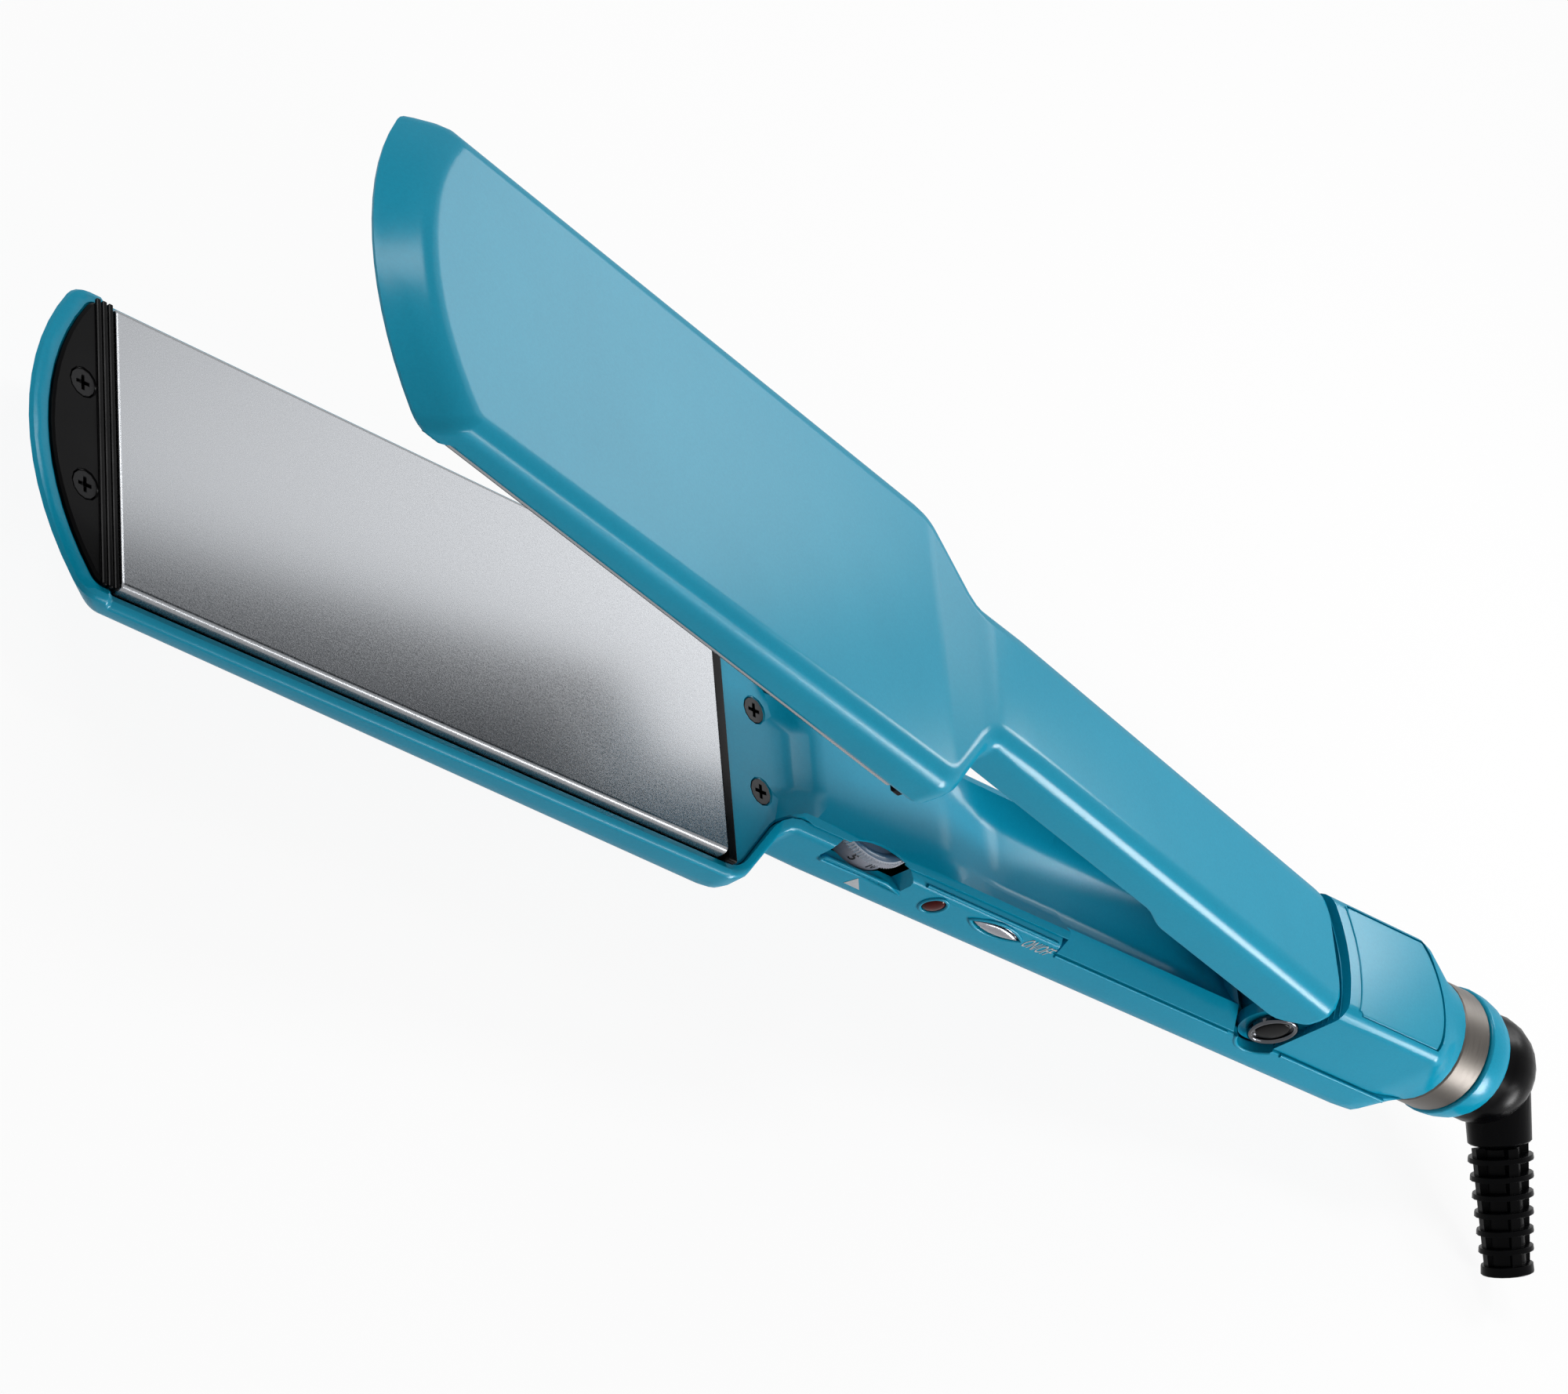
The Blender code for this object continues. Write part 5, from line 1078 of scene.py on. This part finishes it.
@dataclass
class ControlDeck(SubAssembly):
    """The button, lamp and board, and what is moulded and printed round them."""

    side: float = 13.4
    button_depth: float = 4.3
    button_size: tuple[float, float] = (12.2, 2.9)
    button_crown: float = 0.55
    crown_share: tuple[float, float] = (0.94, 0.86)
    button_margin: tuple[float, float] = (1.6, 1.3)
    button_bead: float = 0.36
    lens_radius: float = 2.15
    lens_crown: float = 0.75
    lens_inset: float = 0.8
    lens_bead: float = 0.34
    bezel_gap: float = 0.3
    sill_front: float = -114.6
    sill_rear: float = -99.6
    sill_point: float = -95.2
    sill_top: float = 8.75
    sill_bottom: float = 7.65
    sill_bead: float = 0.42
    tick_bead: float = 0.16
    tick_count: int = 12
    tick_pitch: float = 1.25
    tick_reach: tuple[float, float] = (0.4, 1.1)
    tick_tilt: float = 0.2
    tick_sunk: float = 0.02
    seams: tuple[SeamBead, ...] = (
        SeamBead("deck_seam_line", -92.6, -58.4, 12.8, 12.05, 0.38),
        SeamBead("handle_seam_line", -56.0, -8.0, 13.25, 9.2, 0.34),
        SeamBead("hub_seam_line", 7.4, 38.0, 13.2, 9.25, 0.42))
    crescent_radius: float = 6.95
    crescent_side: float = 13.25
    crescent_bead: float = 0.4
    crescent_angles: range = range(-146, -39, 6)
    pointer: tuple[tuple[float, float], ...] = ((-105.5, 4.5), (-101.5, 4.4), (-104.7, 7.1))
    legend_place: tuple[float, float] = (-61.0, 9.5)
    legend: str = "ON/OFF"
    legend_height: float = 2.9
    legend_width: float = 7.3
    legend_slant: float = 0.25
    legend_weight: float = -0.004
    button_x: float = field(init=False)
    button_z: float = field(init=False)
    lens_x: float = field(init=False)
    lens_z: float = field(init=False)

    def build(self) -> None:
        """Build and dress the controls."""
        self.reface("power_button", 0.2, self.finishes.silver, "button", "silver_button")
        self.add_button_crown()
        self.add_lens()
        self.add_beads()
        self.add_prints()
        for node, finish in (("control_board", self.finishes.board),
                             ("potentiometer", self.finishes.black),
                             ("power_switch", self.finishes.black),
                             ("indicator_lamp", self.finishes.ceramic)):
            dress(self.nodes[node], finish)

    def on_wall(self, x: float, z: float, proud: float = 0.0) -> Point:
        """Return a point on the near side wall, in mm.

        Args:
            x: Its place along the arm.
            z: Its height.
            proud: How far it stands out of the wall.

        Returns:
            The point.
        """
        return (x, -self.side - proud, z)

    def lens_outline(self, length: float, height: float,
                     steps: int = 14) -> list[tuple[float, float]]:
        """Return the outline of a pointed lens of two arcs.

        Args:
            length: Point to point.
            height: Across the middle.
            steps: How many straight runs each arc has.

        Returns:
            Points round the outline, starting at one end.
        """
        half, rise = length / 2, height / 2
        radius = (half * half + rise * rise) / (2 * rise)
        sweep = math.asin(half / radius)
        made = []
        for sign in (1, -1):
            for k in range(steps):
                angle = sign * sweep * (2 * k / steps - 1)
                made.append((radius * math.sin(angle),
                             sign * (radius * math.cos(angle) - radius + rise)))
        return made

    def add_button_crown(self) -> None:
        """Dome the lens-shaped face of the power button."""
        low, high = (Vector(corner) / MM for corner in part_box("power_button"))
        self.button_x = (low.x + high.x) / 2
        self.button_z = HINGE_HEIGHT - self.button_depth
        length, height = self.button_size
        outline = self.lens_outline(length * self.crown_share[0],
                                    height * self.crown_share[1])
        bm = bmesh.new()
        loops = [[bm.verts.new(self.on_wall(self.button_x + a * (0.5 + 0.5 * draw),
                                            self.button_z + b * draw,
                                            self.button_crown * rise))
                  for a, b in outline] for draw, rise in dome_steps()]
        bm.faces.new(loops[0])
        for lower, upper in zip(loops, loops[1:]):
            for k, corner in enumerate(lower):
                after = (k + 1) % len(lower)
                bm.faces.new((corner, lower[after], upper[after], upper[k]))
        bmesh.ops.remove_doubles(bm, verts=bm.verts, dist=0.002)
        bmesh.ops.recalc_face_normals(bm, faces=bm.faces)
        piece = from_bmesh(bm, "power_button_crown")
        smooth(piece, 60.0)
        dress(piece, self.finishes.silver)
        settle(piece, "button", "silver_button", "power_button")

    def add_lens(self) -> None:
        """Build the red lens with a domed face."""
        low, high = (Vector(corner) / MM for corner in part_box("indicator_lens"))
        self.lens_x, self.lens_z = (low.x + high.x) / 2, (low.z + high.z) / 2
        flange = (high.x - low.x) / 2
        depth = high.y - low.y
        shoulder = depth - self.lens_inset
        dome = [(self.lens_radius * rise, self.lens_crown * (1 - draw))
                for draw, rise in dome_steps()]
        profile = [*dome, (self.lens_radius, shoulder), (flange, shoulder),
                   (flange, depth), (0.0, depth)]
        piece = turned("indicator_lens_surface", profile, (self.lens_x, low.y, self.lens_z),
                       (0.0, 1.0, 0.0), 48)
        dress(piece, self.finishes.lens)
        settle(piece, Arm.LOWER.body, "led_red", "indicator_lens")

    def add_beads(self) -> None:
        """Lay the moulded beads round the window, lamp, button and seams."""
        middle, half = ((self.sill_top + self.sill_bottom) / 2,
                        (self.sill_top - self.sill_bottom) / 2)
        round_end = [self.on_wall(self.sill_front - half * math.sin(math.pi * k / 6),
                                  middle - half * math.cos(math.pi * k / 6))
                     for k in range(7)]
        self.bead("dial_window_sill",
                  [*round_end, self.on_wall(self.sill_rear, self.sill_top),
                   self.on_wall(self.sill_point, self.sill_bottom)], self.sill_bead,
                  closed=True)
        self.bead_row("dial_window_sill_ticks",
                      [self.on_wall(self.sill_front + reach, middle + lean, -self.tick_sunk)
                       for reach, lean in zip(self.tick_reach,
                                              (-self.tick_tilt, self.tick_tilt))],
                      self.tick_bead, self.tick_count, (self.tick_pitch, 0.0, 0.0))
        reach, turns = self.lens_radius + self.bezel_gap, 36
        ring = [self.on_wall(self.lens_x + reach * math.cos(math.tau * k / turns),
                             self.lens_z + reach * math.sin(math.tau * k / turns))
                for k in range(turns)]
        self.bead("indicator_bezel", ring, self.lens_bead, closed=True)
        length, height = self.button_size
        rim = [self.on_wall(self.button_x + a, self.button_z + b)
               for a, b in self.lens_outline(length + self.button_margin[0],
                                             height + self.button_margin[1])]
        self.bead("power_button_bezel", rim, self.button_bead, closed=True)
        for hand, sign in (("near", -1), ("far", 1)):
            for seam in self.seams:
                self.bead(f"{seam.name}_{hand}",
                          [(x, sign * seam.side, seam.height)
                           for x in (seam.front, seam.rear)], seam.radius)
            crescent = [(self.crescent_radius * math.cos(math.radians(a)),
                         sign * self.crescent_side,
                         HINGE_HEIGHT + self.crescent_radius * math.sin(math.radians(a)))
                        for a in self.crescent_angles]
            self.bead(f"hinge_recess_crescent_{hand}", crescent, self.crescent_bead)

    def add_prints(self) -> None:
        """Print the pointer and the switch legend on the side wall."""
        pointer = raised("dial_pointer", [self.on_wall(x, z, -0.01) for x, z in self.pointer],
                         (0.0, -2 * INK_HEIGHT, 0.0))
        upright = Matrix.Rotation(math.pi / 2, 4, "X")
        place = Matrix.Translation(self.on_wall(*self.legend_place, INK_HEIGHT)) @ upright
        wide = lettering(self.legend, self.legend_height, self.legend_slant, 0.0)
        reach = max(vertex.co.x for vertex in wide.vertices)
        legend = printed("switch_legend",
                         lettering(self.legend, self.legend_height, self.legend_slant,
                                   self.legend_weight, self.legend_width / 2 / reach), place)
        for piece in (pointer, legend):
            dress(piece, self.finishes.pale_ink)
            settle(piece, Arm.LOWER.body, "silver_button")


@dataclass
class CordOutlet(SubAssembly):
    """The swivelling elbow, its ribbed boot and the slip rings."""

    def build(self) -> None:
        """Build and dress the outlet."""
        for node, edge, slot in (("swivel_elbow", 0.2, "black_plastic"),
                                 ("cord_boot", 0.3, "black_rubber")):
            self.reface(node, edge, self.finishes.cord_black, "cord_swivel", slot)
        for node in ("swivel_retainer", "contact_ring_inner", "contact_ring_outer"):
            dress(self.nodes[node], self.finishes.steel)


# --- studio ------------------------------------------------------------------------
def seen_rays(tree: Tree) -> Socket:
    """Return an output that is 1 for camera, glossy and transmission rays.

    Args:
        tree: The shader tree that needs it.

    Returns:
        The output to link.
    """
    rays = add_node(tree, "ShaderNodeLightPath").outputs
    direct = add_node(tree, "ShaderNodeMath",
                      {0: rays["Is Camera Ray"], 1: rays["Is Glossy Ray"]},
                      operation="MAXIMUM")
    seen = add_node(tree, "ShaderNodeMath",
                    {0: direct.outputs[0], 1: rays["Is Transmission Ray"]},
                    operation="MAXIMUM")
    return seen.outputs[0]


@dataclass(frozen=True)
class Softbox:
    """One rectangular studio lamp."""

    name: str
    place: Point
    aim: Point
    size: tuple[float, float]
    power: float

    def build(self) -> None:
        """Add the lamp to the scene."""
        lamp = bpy.data.lights.new(self.name, "AREA")
        lamp.shape = "RECTANGLE"
        lamp.size, lamp.size_y = self.size
        lamp.energy = self.power
        made = bpy.data.objects.new(self.name, lamp)
        bpy.context.scene.collection.objects.link(made)
        made.location = self.place
        made.visible_camera = False
        reach = Vector(self.aim) - Vector(self.place)
        made.rotation_euler = reach.to_track_quat("-Z", "Y").to_euler()


@dataclass
class Studio:
    """The camera, lamps, pale floor and background."""

    focal_length: float = 129.6
    sensor: float = 36.0
    eye: Point = (-0.754845, -0.448955, 0.540950)
    right: Point = (0.67415602, -0.07738868, 0.73452342)
    down: Point = (0.31572889, -0.86885481, -0.38132216)
    ahead: Point = (0.66770423, 0.48898089, -0.56130986)
    floor_gap: float = 0.6
    floor_size: float = 6.0
    floor_white: float = 0.92
    paper: str = "#F2F2F2"
    sky_level: float = 0.14
    lamps: list[Softbox] = field(default_factory=lambda: [
        Softbox("overhead_softbox", (-0.31, 0.46, 0.90), (-0.24, 0.0, 0.05), (0.5, 0.14), 3.0),
        Softbox("sheen_softbox", (0.57, 0.58, 0.40), (-0.2, 0.0, 0.07), (0.24, 0.24), 0.95),
        Softbox("plate_softbox", (0.40, 0.43, 0.66), (-0.2, 0.0, 0.01), (0.4, 0.4), 0.6),
        Softbox("streak_softbox", (0.74, -0.48, 0.17), (-0.12, 0.0, 0.04), (0.2, 0.3), 5.6),
        Softbox("rim_softbox", (0.60, -0.66, 0.52), (-0.12, 0.0, 0.01), (0.4, 0.08), 2.4),
        Softbox("tip_softbox", (-0.84, 0.48, 0.52), (-0.27, 0.0, 0.02), (0.3, 0.08), 1.8),
        Softbox("hub_softbox", (0.186, 0.123, 0.171), (0.02, 0.0, 0.03), (0.05, 0.05), 0.14),
    ])

    def build(self, lowest: float) -> None:
        """Set up camera, light and floor.

        Args:
            lowest: The height of the object's lowest point, in metres.
        """
        self.add_camera()
        for lamp in self.lamps:
            lamp.build()
        self.add_floor(lowest - self.floor_gap * MM)
        self.set_world()
        bpy.context.scene.view_settings.view_transform = "Standard"

    def add_camera(self) -> None:
        """Add the studio camera."""
        camera = bpy.data.cameras.new("studio_camera")
        camera.lens = self.focal_length
        camera.sensor_width = self.sensor
        camera.clip_start, camera.clip_end = 0.05, 50.0
        made = bpy.data.objects.new("studio_camera", camera)
        bpy.context.scene.collection.objects.link(made)
        # The camera looks down its own -Z with +Y up, so two of the rows turn over.
        turn = Matrix((self.right, [-v for v in self.down], [-v for v in self.ahead]))
        made.matrix_world = Matrix.Translation(self.eye) @ turn.transposed().to_4x4()
        bpy.context.scene.camera = made

    def add_floor(self, height: float) -> None:
        """Add a wide pale floor that shows as white and keeps a soft shadow.

        Args:
            height: The floor's height in metres.
        """
        bm = bmesh.new()
        bmesh.ops.create_grid(bm, x_segments=1, y_segments=1, size=self.floor_size)
        bmesh.ops.translate(bm, verts=bm.verts, vec=(0.0, 0.0, height))
        mesh = bpy.data.meshes.new("studio_floor")
        bm.to_mesh(mesh)
        bm.free()
        floor = mesh_object("studio_floor", mesh)
        made, tree = blank_material("matt_white_sweep")
        share = add_node(tree, "ShaderNodeMath", {0: seen_rays(tree), 1: self.floor_white},
                         operation="MULTIPLY")
        paper = add_node(tree, "ShaderNodeBsdfDiffuse", {"Color": linear(self.paper)})
        white = add_node(tree, "ShaderNodeEmission", {"Color": (1.0, 1.0, 1.0, 1.0)})
        mixed = add_node(tree, "ShaderNodeMixShader",
                         {0: share.outputs[0], 1: paper.outputs[0], 2: white.outputs[0]})
        add_node(tree, "ShaderNodeOutputMaterial", {"Surface": mixed.outputs[0]})
        dress(floor, made)
        floor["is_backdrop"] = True

    def set_world(self) -> None:
        """Light the scene with an even pale sky that shows as white."""
        world = bpy.data.worlds.new("pale_studio")
        world.use_nodes = True
        bpy.context.scene.world = world
        tree = world.node_tree
        tree.nodes.clear()
        level = add_node(tree, "ShaderNodeMapRange",
                         {"Value": seen_rays(tree), "To Min": self.sky_level, "To Max": 1.0})
        sky = add_node(tree, "ShaderNodeBackground",
                       {"Color": (1.0, 1.0, 1.0, 1.0), "Strength": level.outputs["Result"]})
        add_node(tree, "ShaderNodeOutputWorld", {"Surface": sky.outputs[0]})


def main() -> None:
    """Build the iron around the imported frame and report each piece."""
    logging.basicConfig(level=logging.INFO, format="%(name)s: %(message)s")
    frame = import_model()
    nodes = frame["nodes"]
    before = [list(corner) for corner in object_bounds()]
    finishes = Finishes()
    trees = Trees(moulded_bead_tree(), stepped_copies_tree())
    for arm in Arm:
        StyledArm(nodes, finishes, trees, arm).build()
    for kind in (HubEnd, TemperatureDial, ControlDeck, CordOutlet):
        kind(nodes, finishes, trees).build()
    Studio().build(before[0][2])


if __name__ == "__main__":
    main()
